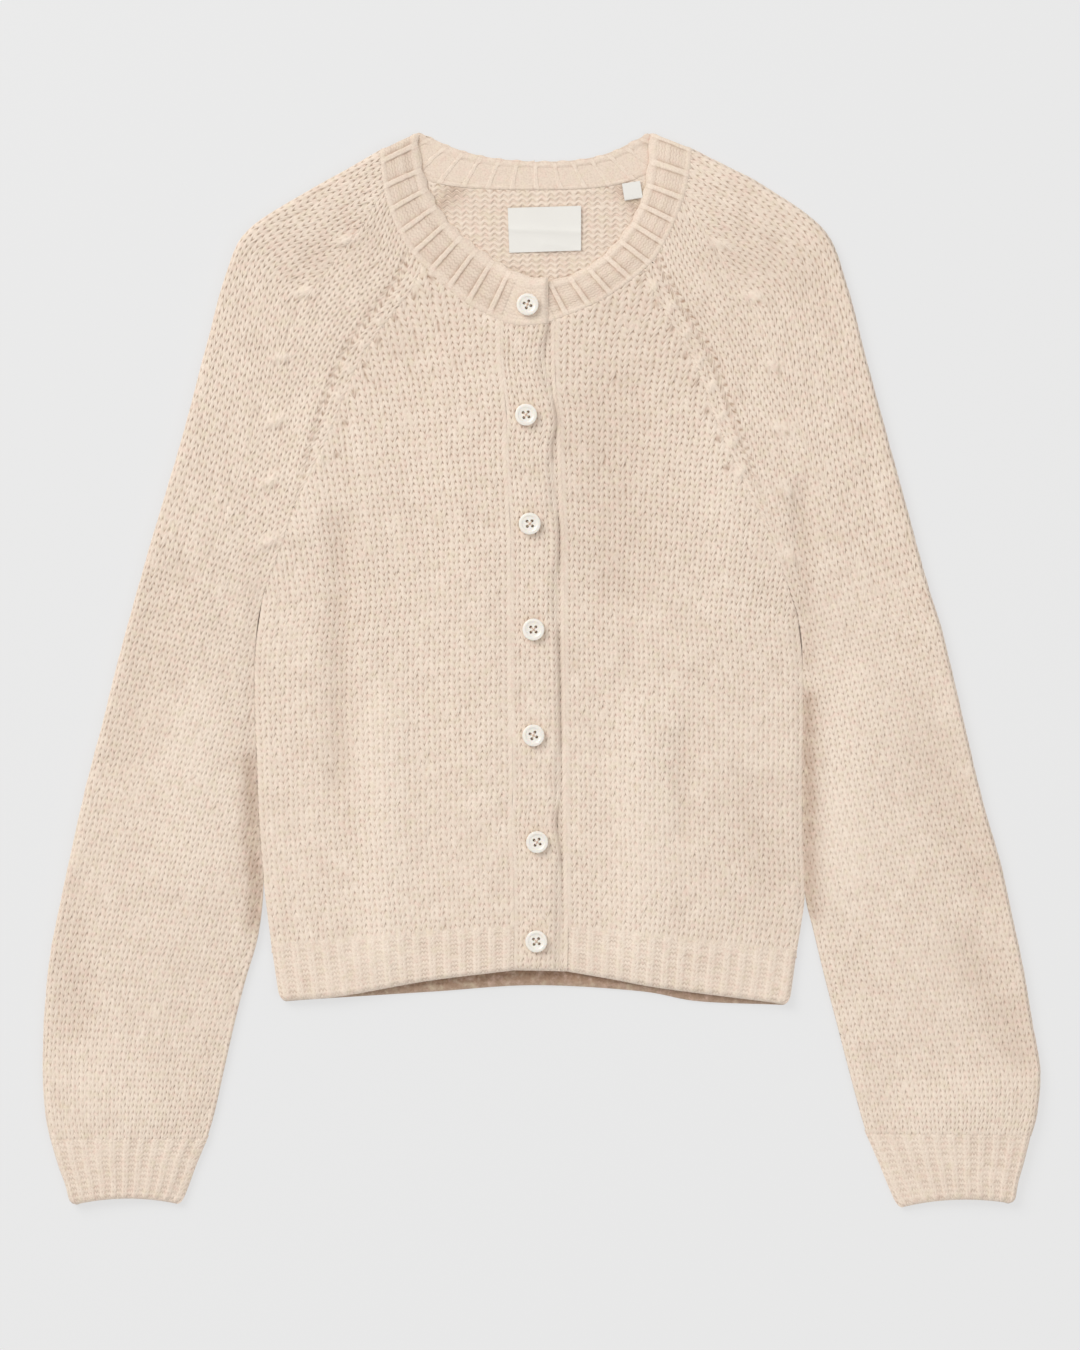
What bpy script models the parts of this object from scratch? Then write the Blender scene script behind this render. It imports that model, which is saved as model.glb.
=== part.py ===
"""A raglan button cardigan in chunky wool knit, laid flat on its back.

Frame: +X to the viewer's right, +Y towards the neck, +Z up off the surface. The
underside rests on z = 0 and the outline is centred on the origin. The tables are
in millimetres and the objects are in metres.

"Right" and "left" are the wearer's, so the right front and the right sleeve lie on
the -X side. Every piece is a wall of knit. The back layer lies flat on the
surface, the front layer lies on it with a little air between, and the button band
lies on the under band.
"""

from collections import namedtuple

import bmesh
import bpy
import numpy as np

MM = 0.001

# Driving dimensions, in millimetres
WALL = 2.6  # thickness of the knit
CLEAR = 0.4  # between a layer and the one that it lies on
SEAM = 0.8  # between two pieces where they are sewn edge to edge
ROUND = 0.7  # how far the middle of a raw or seamed edge rounds out
PUFF = 2.2  # air under the middle of the front layer
PUFF_REACH = 38.0  # how far from a closed side seam the front layer is full height
SHUT = 0.1  # air left along a closed side seam
RISE_FROM = -95.0  # x where the right front starts to rise over the under band
RISE_TO = -32.0  # x where it lies on it

HEM_PITCH = 10.3  # from one hem rib to the next
CUFF_PITCH = 10.3
CUFF_ARCH = 4.0  # how far the middle of a cuff's edge draws up above its ends
RIB_HEIGHT = 1.1
RIB_PROFILE = ((0.18, 0.0), (0.3, 1.0), (0.7, 1.0), (0.82, 0.0))  # place in a pitch, height
HEM_MARGIN = 3.0  # plain at either end of a hem rib
CUFF_MARGIN = 2.0
CUFF_FOLD = 8.0  # width left for the fold at a cuff's outer side
BAND_PITCH = 16.8  # from one neckband ridge to the next
BAND_RIDGE_HEIGHT = 1.0
BAND_PROFILE = ((0.3, 0.0), (0.4, 1.0), (0.62, 1.0), (0.72, 0.0))
BAND_MARGIN = 3.0  # plain before the first ridge of a stretch, and after its last
BAND_END = 34.0  # plain end of the neckband above the button band

BUTTON_DIAMETER = 15.0
BUTTON_THICKNESS = 3.2
BUTTON_RIM = 2.4  # width of its raised rim
BUTTON_RECESS = 0.8  # depth of its face inside the rim
BUTTON_HOLE = 1.7  # diameter of each of its four holes
BUTTON_SIDES = 12
BUTTON_HOLE_SIDES = 6
BUTTON_HOLE_SPREAD = 1.75  # from the button's middle to a hole, along x and along y

LABEL_WALL = 0.6
TAB_WALL = 0.5

BACK_Z = WALL / 2  # middle of the back layer's wall
LAYER = WALL + CLEAR  # from one layer's middle to the next one's

# Sections down each sleeve from the neck to the cuff: the folded outer edge, and
# the edge sewn to the front and to the back. Below the underarm the last two meet.
Section = namedtuple("Section", "outer_x outer_y front_x front_y back_x back_y")

RIGHT_SLEEVE = (
    Section(-110.0, 354.5, -90.5, 287.0, -75.0, 333.0),
    Section(-134.0, 340.5, -98.0, 267.0, -83.0, 304.5),
    Section(-159.0, 326.5, -110.0, 251.5, -94.0, 283.0),
    Section(-200.0, 300.0, -132.0, 221.0, -115.0, 241.5),
    Section(-215.0, 270.0, -146.0, 189.0, -134.0, 201.5),
    Section(-227.0, 226.5, -158.0, 150.5, -151.0, 156.5),
    Section(-245.0, 158.5, -173.5, 97.0, -170.0, 99.5),
    Section(-266.0, 87.5, -190.5, 47.5, -190.5, 47.5),
    Section(-277.5, 47.0, -195.0, 13.5, -195.0, 13.5),
    Section(-288.5, 7.0, -195.5, -23.0, -195.5, -23.0),
    Section(-299.0, -35.5, -194.0, -61.0, -194.0, -61.0),
    Section(-309.5, -75.5, -192.5, -102.0, -192.5, -102.0),
    Section(-319.0, -117.0, -189.5, -143.0, -189.5, -143.0),
    Section(-328.0, -158.5, -193.0, -180.0, -193.0, -180.0),
    Section(-335.0, -195.0, -202.0, -212.0, -202.0, -212.0),
    Section(-338.5, -231.0, -209.0, -239.5, -209.0, -239.5),
    Section(-340.0, -268.5, -216.0, -270.5, -216.0, -270.5),
    Section(-338.0, -302.5, -223.0, -302.0, -223.0, -302.0),
    Section(-334.0, -323.0, -229.0, -322.5, -229.0, -322.5),
)
RIGHT_CUFF = (
    Section(-334.0, -323.0, -229.0, -322.5, -229.0, -322.5),
    Section(-329.5, -338.0, -235.5, -338.0, -235.5, -338.0),
    Section(-324.5, -352.0, -241.0, -353.0, -241.0, -353.0),
    Section(-321.5, -364.5, -245.5, -364.0, -245.5, -364.0),
)
LEFT_SLEEVE = (
    Section(102.5, 355.5, 79.0, 283.0, 64.0, 334.5),
    Section(126.0, 343.5, 86.5, 264.5, 72.0, 307.5),
    Section(151.5, 330.0, 96.5, 247.5, 81.5, 284.0),
    Section(192.0, 300.5, 115.0, 216.0, 102.0, 241.5),
    Section(208.0, 263.0, 128.5, 179.5, 121.0, 200.0),
    Section(222.5, 207.5, 141.5, 141.5, 138.0, 155.0),
    Section(241.5, 138.0, 158.5, 85.0, 156.5, 90.0),
    Section(262.5, 61.0, 175.0, 34.0, 175.0, 34.0),
    Section(272.0, 30.5, 178.0, 3.5, 178.0, 3.5),
    Section(281.5, -8.0, 178.5, -30.5, 178.5, -30.5),
    Section(291.0, -49.0, 178.0, -71.5, 178.0, -71.5),
    Section(301.0, -90.0, 178.0, -112.0, 178.0, -112.0),
    Section(313.0, -132.0, 179.5, -151.5, 179.5, -151.5),
    Section(321.0, -168.5, 185.5, -178.0, 185.5, -178.0),
    Section(328.5, -204.0, 193.5, -211.0, 193.5, -211.0),
    Section(334.5, -239.5, 201.5, -241.5, 201.5, -241.5),
    Section(340.0, -272.0, 209.0, -270.5, 209.0, -270.5),
    Section(338.0, -301.0, 217.0, -300.5, 217.0, -300.5),
    Section(333.0, -320.0, 222.5, -319.0, 222.5, -319.0),
)
LEFT_CUFF = (
    Section(333.0, -320.0, 222.5, -319.0, 222.5, -319.0),
    Section(329.0, -336.0, 230.0, -336.0, 230.0, -336.0),
    Section(325.0, -350.0, 236.5, -352.0, 236.5, -352.0),
    Section(323.0, -363.5, 243.0, -366.5, 243.0, -366.5),
)
UNDERARM = 7  # the sleeve section at the underarm
BODY_MEETS_SLEEVE = 13  # body sides follow the sleeves down to before this section

# The body's sides below the place where the sleeves leave them, down to the hem
Point = namedtuple("Point", "x y")
RIGHT_SIDE = (Point(-187.0, -165.0), Point(-184.0, -188.5))
LEFT_SIDE = (Point(177.0, -173.5), Point(174.0, -192.0))

# The neck seam from the placket to each shoulder, and the neckband's free edge
NECK_RIGHT = (
    Point(5.0, 236.0),
    Point(-14.0, 234.5),
    Point(-28.0, 238.0),
    Point(-53.5, 251.5),
    Point(-78.0, 273.5),
    Point(-90.5, 287.0),
    Point(-101.5, 308.0),
    Point(-107.5, 330.0),
    Point(-110.0, 354.5),
)
NECK_LEFT = (
    Point(-24.0, 236.0),
    Point(-8.0, 234.5),
    Point(9.0, 238.5),
    Point(40.0, 251.5),
    Point(66.0, 269.5),
    Point(79.0, 283.0),
    Point(91.0, 306.0),
    Point(99.0, 330.0),
    Point(102.5, 355.5),
)
FREE_RIGHT = (
    Point(4.5, 266.5),
    Point(-11.5, 268.0),
    Point(-36.5, 283.0),
    Point(-61.0, 303.5),
    Point(-76.0, 326.5),
    Point(-82.5, 350.0),
    Point(-84.0, 367.0),
)
FREE_LEFT = (
    Point(-24.0, 268.0),
    Point(-8.0, 266.0),
    Point(13.5, 267.0),
    Point(39.0, 280.0),
    Point(60.5, 304.5),
    Point(70.0, 328.5),
    Point(73.0, 350.0),
    Point(74.0, 367.0),
)
NECK_CORNER = 5  # the point of either neck seam where the raglan seam starts
BAND_CORNER = 2  # the point of either neck seam above the placket's seam
NECK_BACK = (
    Point(-110.0, 354.5),
    Point(-93.0, 342.5),
    Point(-75.0, 333.0),
    Point(-45.5, 328.5),
    Point(-1.5, 327.5),
    Point(38.0, 329.0),
    Point(64.0, 334.5),
    Point(83.5, 345.0),
    Point(102.5, 355.5),
)
NECK_BACK_CORNERS = (2, 6)
FREE_BACK = (
    Point(-84.0, 367.0),
    Point(-56.0, 354.5),
    Point(-25.0, 348.0),
    Point(15.5, 347.0),
    Point(46.0, 352.5),
    Point(74.0, 367.0),
)

# Down the placket: the seam of the button band and its overlapping free edge
# and those of the under band, whose seam shows just past the top band's edge
Placket = namedtuple("Placket", "y seam_x edge_x under_edge_x under_seam_x")
PLACKET = (
    Placket(213.0, -28.0, 2.0, -24.0, 9.0),
    Placket(190.0, -25.5, 7.0, -22.5, 10.0),
    Placket(170.0, -23.5, 10.5, -21.0, 12.5),
    Placket(150.0, -24.5, 7.5, -20.0, 13.0),
    Placket(121.0, -22.5, 9.5, -19.0, 14.0),
    Placket(90.0, -21.0, 12.0, -18.0, 15.5),
    Placket(47.0, -21.0, 11.0, -17.5, 15.5),
    Placket(-16.0, -20.5, 12.5, -17.0, 16.0),
    Placket(-80.0, -19.5, 13.0, -16.5, 17.0),
    Placket(-104.0, -20.5, 10.5, -16.0, 17.0),
    Placket(-134.0, -19.0, 13.5, -15.5, 17.5),
)

# The hem: the top of the ribs and the edge, on the front and on the back
HEM_TOP_RIGHT = (Point(-184.0, -188.5), Point(-96.5, -180.5), Point(-18.5, -175.0))
HEM_TOP_LEFT = (Point(18.0, -175.5), Point(73.5, -181.0), Point(174.0, -192.0))
HEM_EDGE_RIGHT = (
    Point(-178.5, -225.5),
    Point(-137.5, -222.5),
    Point(-78.0, -212.0),
    Point(-19.0, -204.5),
)
HEM_EDGE_LEFT = (
    Point(17.5, -205.5),
    Point(49.0, -211.0),
    Point(85.5, -217.5),
    Point(169.0, -228.0),
)
BAND_EDGE = (Point(-19.0, -204.5), Point(12.5, -205.0))  # lower ends of the button band
UNDER_BAND_EDGE = (Point(-15.0, -204.5), Point(17.5, -205.5))
HEM_TOP_BACK = (Point(-184.0, -188.5), Point(-5.0, -183.0), Point(174.0, -192.0))
HEM_EDGE_BACK = (
    Point(-178.5, -226.0),
    Point(-76.0, -219.5),
    Point(-5.0, -215.0),
    Point(66.5, -219.0),
    Point(107.5, -226.0),
    Point(169.0, -228.5),
)

# Soft troughs (depth below zero) and ridges in the front layer
Fold = namedtuple("Fold", "from_x from_y to_x to_y width depth")
FOLDS = (
    Fold(-118.0, 95.0, -128.0, -165.0, 16.0, -1.3),
    Fold(-75.0, 150.0, -92.0, -60.0, 22.0, 0.9),
    Fold(70.0, 130.0, 92.0, -120.0, 24.0, 0.8),
    Fold(118.0, 60.0, 126.0, -160.0, 16.0, -1.1),
    Fold(-232.0, 120.0, -262.0, -60.0, 14.0, -1.0),
    Fold(-285.0, -90.0, -262.0, -270.0, 15.0, -0.9),
    Fold(226.0, 100.0, 254.0, -80.0, 14.0, -1.0),
    Fold(292.0, -110.0, 258.0, -280.0, 15.0, -0.9),
    Fold(-150.0, 255.0, -205.0, 190.0, 16.0, 0.8),
    Fold(140.0, 255.0, 196.0, 190.0, 16.0, 0.8),
)

# The buttons' places down the placket, and how far each is turned
ButtonPlace = namedtuple("ButtonPlace", "x y turn")
BUTTONS = (
    ButtonPlace(-9.5, 248.5, 28.0),
    ButtonPlace(-10.5, 173.5, 62.0),
    ButtonPlace(-8.0, 99.5, 12.0),
    ButtonPlace(-5.5, 27.5, 40.0),
    ButtonPlace(-5.5, -44.5, 75.0),
    ButtonPlace(-3.0, -117.0, 22.0),
    ButtonPlace(-3.5, -184.5, 50.0),
)

LABEL_CORNERS = (Point(-23.0, 315.0), Point(27.0, 316.5), Point(-22.0, 284.5), Point(27.0, 286.0))
TAB_ROOT = Point(61.0, 332.5)  # middle of the size tab's sewn end
TAB_WIDTH = 12.5
TAB_LENGTH = 11.0
TAB_TURN = 12.0  # degrees off straight down

CURVE_STEPS = 24  # places worked out between two points of a table
FINE = 80  # places along a curve that is cut again at uneven shares
PLAIN_HEM_COLUMNS = 14
BAND_ROWS = 26
BAND_COLUMNS = 4
SIDE_ROWS = 30  # rows of faces down a sleeve, a front and the back
PANEL_COLUMNS = 8  # across a front and the back
FOLD_STEPS = 4  # faces round a folded edge
SLEEVE_FRONT_SHARES = (0, 0.28, 0.56, 0.84)  # of the way from the seam to the fold
SLEEVE_BACK_SHARES = (0, 0.36, 0.72)
CUFF_BACK_SHARES = (0, 0.3, 0.6, 0.88)
BAND_TO_SHOULDER = 0.94  # of the front neck seam is laid before the shoulder fold
BACK_BAND_START = 0.05  # of the back neck seam lies within the shoulder fold


def through(points, count, first=0, last=None):
    """Evenly spaced places on the smooth curve through some points.

    With first and last they cover only the stretch between those two points.
    """
    p = np.array([(q[0], q[1]) for q in points], float)
    last = len(p) - 1 if last is None else last
    p = np.vstack([2 * p[0] - p[1], p, 2 * p[-1] - p[-2]])
    t = np.linspace(0, 1, CURVE_STEPS, endpoint=False)[:, None]
    dense = []
    for a, b, c, d in zip(p[:-3], p[1:-2], p[2:-1], p[3:]):
        bend = (2 * a - 5 * b + 4 * c - d) * t**2 + (3 * b - a - 3 * c + d) * t**3
        dense.append(b + 0.5 * ((c - a) * t + bend))
    dense = np.vstack([*dense, p[-2]])
    low, high = sorted((first, last))
    wanted = dense[low * CURVE_STEPS:high * CURVE_STEPS + 1]
    return at_shares(wanted if first <= last else wanted[::-1], np.linspace(0, 1, count))


def at_shares(line, shares):
    """Places on a polyline at shares of its length."""
    line = np.array(line, float)
    steps = np.linalg.norm(np.diff(line, axis=0), axis=1)
    along = np.concatenate([[0], np.cumsum(steps)]) / steps.sum()
    return np.stack([np.interp(shares, along, line[:, k]) for k in range(line.shape[1])], axis=1)


def patch(top, bottom, first, last):
    """A grid of places between four edges that meet at the corners.

    The rows run from the first side to the last side, and the first row is the top.
    """
    rows, columns = len(first), len(top)
    down = np.linspace(0, 1, rows)[:, None, None]
    across = np.linspace(0, 1, columns)[None, :, None]
    between_ends = (1 - down) * top[None] + down * bottom[None]
    between_sides = (1 - across) * first[:, None] + across * last[:, None]
    corners = (
        (1 - down) * (1 - across) * top[0]
        + (1 - down) * across * top[-1]
        + down * (1 - across) * bottom[0]
        + down * across * bottom[-1]
    )
    return between_ends + between_sides - corners


def distance_to_line(places, line):
    """How far each place in the plan is from a polyline."""
    best = np.full(places.shape[:-1], np.inf)
    for a, b in zip(line[:-1], line[1:]):
        d = b - a
        t = np.clip(((places - a) @ d) / (d @ d), 0, 1)
        best = np.minimum(best, np.linalg.norm(places - a - t[..., None] * d, axis=-1))
    return best


def folds_at(places):
    """Height of the soft folds at places in the plan."""
    height = np.zeros(places.shape[:-1])
    for fold in FOLDS:
        line = np.array([(fold.from_x, fold.from_y), (fold.to_x, fold.to_y)])
        height += fold.depth * np.exp(-((distance_to_line(places, line) / fold.width) ** 2))
    return height


def lift(places, closed_lines):
    """Air under the front layer, which shuts along the closed side seams."""
    away = np.min([distance_to_line(places, line) for line in closed_lines], axis=0)
    share = 1 - np.exp(-((away / PUFF_REACH) ** 2))
    return SHUT + share * (PUFF + folds_at(places))


def smooth_step(value, start, end):
    """From 0 at the start to 1 at the end, level at both."""
    t = np.clip((value - start) / (end - start), 0, 1)
    return t * t * (3 - 2 * t)


def placket_rise(places):
    """How far the right front rises to lie over the left one near the placket."""
    return LAYER * smooth_step(places[..., 0], RISE_FROM, RISE_TO)


def rib_stations(length, pitch, margin):
    """Shares along a ribbed edge, and how far the wall is raised at each."""
    ribs = int((length - 2 * margin) // pitch)
    start = (length - ribs * pitch) / 2
    shares, raised = [0.0], [0.0]
    for rib in range(ribs):
        for part, up in RIB_PROFILE:
            shares.append((start + (rib + part) * pitch) / length)
            raised.append(up * RIB_HEIGHT)
    return np.array(shares + [1.0]), np.array(raised + [0.0])


def unit(vectors):
    """The same directions, one long."""
    return vectors / np.maximum(np.linalg.norm(vectors, axis=-1, keepdims=True), 1e-9)


def outward(grid):
    """The direction out of a grid at each of its points, upwards at its first corner."""
    out = unit(np.cross(np.gradient(grid, axis=0), np.gradient(grid, axis=1)))
    return out * np.sign(out[0, 0, 2])


def trimmed(grid, amount):
    """The grid with its edge points moved in towards the points next to them."""
    moved = grid.copy()
    moved[0] += amount * unit(grid[1] - grid[0])
    moved[-1] += amount * unit(grid[-2] - grid[-1])
    moved[:, 0] += amount * unit(grid[:, 1] - grid[:, 0])
    moved[:, -1] += amount * unit(grid[:, -2] - grid[:, -1])
    return moved


def wall(name, grid, surface, raised=0.0, thickness=WALL, out=None, edge=ROUND):
    """A closed wall round a grid of middle points, with rounded edges.

    Where raised is over zero the outer face stands up by it, and where it is under
    zero the inner face does.
    """
    grid = np.array(grid, float)
    middle = trimmed(grid, SEAM / 2 + edge)
    rim = trimmed(grid, SEAM / 2)
    out = outward(grid) if out is None else np.broadcast_to(out, grid.shape)
    raised = np.broadcast_to(raised, grid.shape[:2])[..., None]
    outer = middle + out * (thickness / 2 + np.maximum(raised, 0))
    inner = middle - out * (thickness / 2 + np.maximum(-raised, 0))
    rows, columns = grid.shape[:2]
    mesh = bmesh.new()
    outer_verts = [[mesh.verts.new(p * MM) for p in row] for row in outer]
    inner_verts = [[mesh.verts.new(p * MM) for p in row] for row in inner]
    for r in range(rows - 1):
        for c in range(columns - 1):
            for verts in (outer_verts, inner_verts):
                mesh.faces.new((verts[r][c], verts[r + 1][c], verts[r + 1][c + 1], verts[r][c + 1]))
    loop = [(r, 0) for r in range(rows)]
    loop += [(rows - 1, c) for c in range(1, columns)]
    loop += [(r, columns - 1) for r in range(rows - 2, -1, -1)]
    loop += [(0, c) for c in range(columns - 2, 0, -1)]
    rim_verts = [mesh.verts.new(rim[r, c] * MM) for r, c in loop]
    for i, (r, c) in enumerate(loop):
        j = (i + 1) % len(loop)
        r2, c2 = loop[j]
        mesh.faces.new((outer_verts[r][c], outer_verts[r2][c2], rim_verts[j], rim_verts[i]))
        mesh.faces.new((rim_verts[i], rim_verts[j], inner_verts[r2][c2], inner_verts[r][c]))
    return finish(name, mesh, surface)


def finish(name, mesh, surface):
    """Turn a bmesh into a named object with its faces pointing out."""
    bmesh.ops.recalc_face_normals(mesh, faces=mesh.faces)
    data = bpy.data.meshes.new(name)
    mesh.to_mesh(data)
    mesh.free()
    data.materials.append(surface)
    data.shade_smooth()
    data.set_sharp_from_angle(angle=np.radians(50))
    thing = bpy.data.objects.new(name, data)
    bpy.context.collection.objects.link(thing)
    return thing


def material(name, colour, roughness):
    """A Principled material with no metal in it."""
    made = bpy.data.materials.new(name)
    made.use_nodes = True
    shader = made.node_tree.nodes["Principled BSDF"]
    shader.inputs["Base Color"].default_value = (*colour, 1)
    shader.inputs["Roughness"].default_value = roughness
    shader.inputs["Metallic"].default_value = 0.0
    return made


def with_height(places, height):
    """Plan places joined with their heights."""
    return np.concatenate([places, np.broadcast_to(height, places.shape[:-1])[..., None]], axis=-1)


def sleeve_lines(sections):
    """The outer, front and back lines of a sleeve's table as point lists."""
    outer = [(s.outer_x, s.outer_y) for s in sections]
    front = [(s.front_x, s.front_y) for s in sections]
    back = [(s.back_x, s.back_y) for s in sections]
    return outer, front, back


def folded_tube(front_rows, outer_line, back_rows, closed_lines):
    """Middle points of a flattened tube from its front edge, round its fold, to its back edge.

    The front and back rows run from the seamed edge out to the fold. The fold is half
    a turn about a line that lies inside the outer line.
    """
    fold_height = LAYER + lift(outer_line, closed_lines)
    radius = fold_height / 2
    along = unit(np.gradient(outer_line, axis=0))
    side = np.stack([along[:, 1], -along[:, 0]], axis=1)
    inward = outer_line - front_rows[:, 0]
    side *= np.sign((side * inward).sum(axis=1))[:, None]
    centre = outer_line - side * (radius + WALL / 2)[:, None]
    front_height = BACK_Z + LAYER + lift(front_rows, closed_lines)
    columns = []
    spans = front_rows.shape[1]
    for c in range(spans):
        columns.append(with_height(front_rows[:, c], front_height[:, c]))
    for step in range(FOLD_STEPS + 1):
        turn = np.pi / 2 - np.pi * step / FOLD_STEPS
        place = centre + side * (radius * np.cos(turn))[:, None]
        columns.append(with_height(place, BACK_Z + radius + radius * np.sin(turn)))
    for c in range(back_rows.shape[1] - 1, -1, -1):
        columns.append(with_height(back_rows[:, c], BACK_Z))
    return np.stack(columns, axis=1)


def layer_rows(inner, outer_line, top, bottom, shares):
    """Plan rows from a seamed edge towards the fold, stopping short of it."""
    grid = patch(top, bottom, inner, outer_line)
    return np.stack([at_shares(row, shares) for row in grid])


def closed_lines_of(sections, side):
    """The lines along which the front layer is shut down on the back layer."""
    front = sleeve_lines(sections)[1]
    sleeve = through(front[UNDERARM:], 30)
    body = through([*front[UNDERARM:BODY_MEETS_SLEEVE], *side], 24)
    return sleeve, body


def make_sleeve(name, sections, neck_top, back_top, closed, knit):
    """One sleeve: the front layer, the folded outer edge and the back layer in one wall."""
    outer, front, back = sleeve_lines(sections)
    outer_line = through(outer, SIDE_ROWS)
    front_edge = through(front, SIDE_ROWS)
    back_edge = through(back, SIDE_ROWS)
    front_end = through([front[-1], outer[-1]], len(neck_top))
    back_end = through([back[-1], outer[-1]], len(back_top))
    front_rows = layer_rows(front_edge, outer_line, neck_top, front_end, SLEEVE_FRONT_SHARES)
    back_rows = layer_rows(back_edge, outer_line, back_top, back_end, SLEEVE_BACK_SHARES)
    return wall(name, folded_tube(front_rows, outer_line, back_rows, [closed]), knit)


def make_cuff(name, sections, closed, rib):
    """One ribbed cuff, folded like the sleeve above it."""
    outer, front, back = sleeve_lines(sections)
    rows = len(sections) - 1
    width = np.linalg.norm(np.array(outer[1]) - np.array(front[1]))
    shares, raised = rib_stations(width - CUFF_FOLD, CUFF_PITCH, CUFF_MARGIN)
    reach = (width - CUFF_FOLD) / width
    outer_line = through(outer, rows)

    def ends(inner):
        """The top and the arched lower edge of one layer of the cuff."""
        middle = (np.array(inner[-1]) + np.array(outer[-1])) / 2 + (0, CUFF_ARCH)
        return through([inner[0], outer[0]], 9), through([inner[-1], middle, outer[-1]], 9)

    front_rows = layer_rows(through(front, rows), outer_line, *ends(front), shares * reach)
    back_rows = layer_rows(through(back, rows), outer_line, *ends(back), CUFF_BACK_SHARES)
    grid = folded_tube(front_rows, outer_line, back_rows, [closed])
    only_front = np.zeros(grid.shape[:2])
    only_front[:, :len(raised)] = raised
    return wall(name, grid, rib, raised=only_front)


def back_level(places, closed):
    """Height of the middle of the back layer."""
    return np.full(places.shape[:-1], BACK_Z)


def left_level(places, closed):
    """Height of the middle of the left front, lying on the back."""
    return BACK_Z + LAYER + lift(places, closed)


def right_level(places, closed):
    """Height of the middle of the right front, which also lies on the under band."""
    return left_level(places, closed) + placket_rise(places)


def top_level(places, closed):
    """Height of the middle of the button band, lying on the under band."""
    return left_level(places, closed) + LAYER


def make_front(name, outer, inner, neck, hem_top, closed, knit, level):
    """One front between its raglan and side, its placket seam, the neck and the hem rib."""
    outer, inner = through(outer, SIDE_ROWS), through(inner, SIDE_ROWS)
    grid = patch(neck, through(hem_top, PANEL_COLUMNS), outer, inner)
    return wall(name, with_height(grid, level(grid, closed)), knit, out=(0, 0, 1))


def make_hem(name, top, edge, closed, rib, level, ribbed):
    """A hem rib below a front or the back."""
    length = np.linalg.norm(np.array(top[-1]) - np.array(top[0]))
    if ribbed:
        shares, raised = rib_stations(length, HEM_PITCH, HEM_MARGIN)
    else:
        shares, raised = np.linspace(0, 1, PLAIN_HEM_COLUMNS), np.zeros(PLAIN_HEM_COLUMNS)
    top_line = at_shares(through(top, FINE), shares)
    edge_line = at_shares(through(edge, FINE), shares)
    grid = np.stack([top_line, edge_line])
    height = level(grid, closed)
    return wall(name, with_height(grid, height), rib, raised=raised[None, :], out=(0, 0, 1))


def placket_line(column, top, bottom):
    """One line down the placket, from the neck seam to a point at or near the hem."""
    return [top, *((getattr(p, column), p.y) for p in PLACKET), *bottom]


def make_band(name, first, last, neck, edge, closed, knit, level):
    """A band down the placket between its two long edges."""
    grid = patch(
        through(neck, BAND_COLUMNS), through(edge, BAND_COLUMNS),
        through(first, BAND_ROWS), through(last, BAND_ROWS),
    )
    return wall(name, with_height(grid, level(grid, closed)), knit, out=(0, 0, 1))


def band_stations(seam_line, plain_end):
    """Shares along a stretch of neckband with its ridges, plain for a while at the start."""
    length = np.linalg.norm(np.diff(seam_line, axis=0), axis=1).sum()
    ridges = int((length - plain_end - 2 * BAND_MARGIN) // BAND_PITCH)
    shares, raised = [0.0], [0.0]
    if plain_end:
        shares.append(plain_end / 2 / length)
        raised.append(0.0)
    for ridge in range(ridges):
        for part, up in BAND_PROFILE:
            shares.append((plain_end + BAND_MARGIN + (ridge + part) * BAND_PITCH) / length)
            raised.append(up * BAND_RIDGE_HEIGHT)
    return np.array(shares), np.array(raised)


def make_neckband(closed, rib):
    """The whole neckband: right front, shoulder fold, back, shoulder fold, left front."""
    across = np.linspace(0, 1, 3)
    stretches, raised_all = [], []

    def lay(seam, free, plain_end, start, end, level, face, backwards):
        """One stretch between two shares of its length, with its ridges on one face."""
        shares, raised = band_stations(through(seam, FINE), plain_end)
        keep = (shares >= start) & (shares < end)
        order = -1 if backwards else 1
        shares, raised = shares[keep][::order], raised[keep][::order]
        s = at_shares(through(seam, FINE), shares)
        f = at_shares(through(free, FINE), shares)
        plan = s[:, None] + across[None, :, None] * (f - s)[:, None]
        stretches.append(with_height(plan, level(plan, closed)))
        raised_all.append(face * raised)

    def shoulder(start, end, upwards):
        """Half a turn about the shoulder fold, inside the outline."""
        line = np.array([(1 - a) * np.array(start) + a * np.array(end) for a in across])
        along = unit(line[-1] - line[0])
        side = np.array([-along[1], along[0]])
        side *= np.sign(side[1])
        radius = (LAYER + lift(line, closed)) / 2
        centre = line - side * (radius + WALL / 2)[:, None]
        steps = range(FOLD_STEPS + 1)
        for step in steps if not upwards else reversed(steps):
            turn = np.pi / 2 - np.pi * step / FOLD_STEPS
            place = centre + side * (radius * np.cos(turn))[:, None]
            height = BACK_Z + radius * (1 + np.sin(turn))
            stretches.append(with_height(place, height)[None])
            raised_all.append(np.zeros(1))

    end = BAND_TO_SHOULDER
    lay(NECK_RIGHT, FREE_RIGHT, BAND_END, 0.0, end, right_level, 1, False)
    shoulder(NECK_RIGHT[-1], FREE_RIGHT[-1], upwards=False)
    lay(NECK_BACK, FREE_BACK, 0.0, BACK_BAND_START, 1 - BACK_BAND_START, back_level, -1, False)
    shoulder(NECK_LEFT[-1], FREE_LEFT[-1], upwards=True)
    lay(NECK_LEFT, FREE_LEFT, BAND_END, 0.0, end, left_level, 1, True)

    grid = np.concatenate(stretches)
    raised = np.concatenate(raised_all)[:, None]
    return wall("neckband", grid, rib, raised=np.broadcast_to(raised, grid.shape[:2]))


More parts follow.
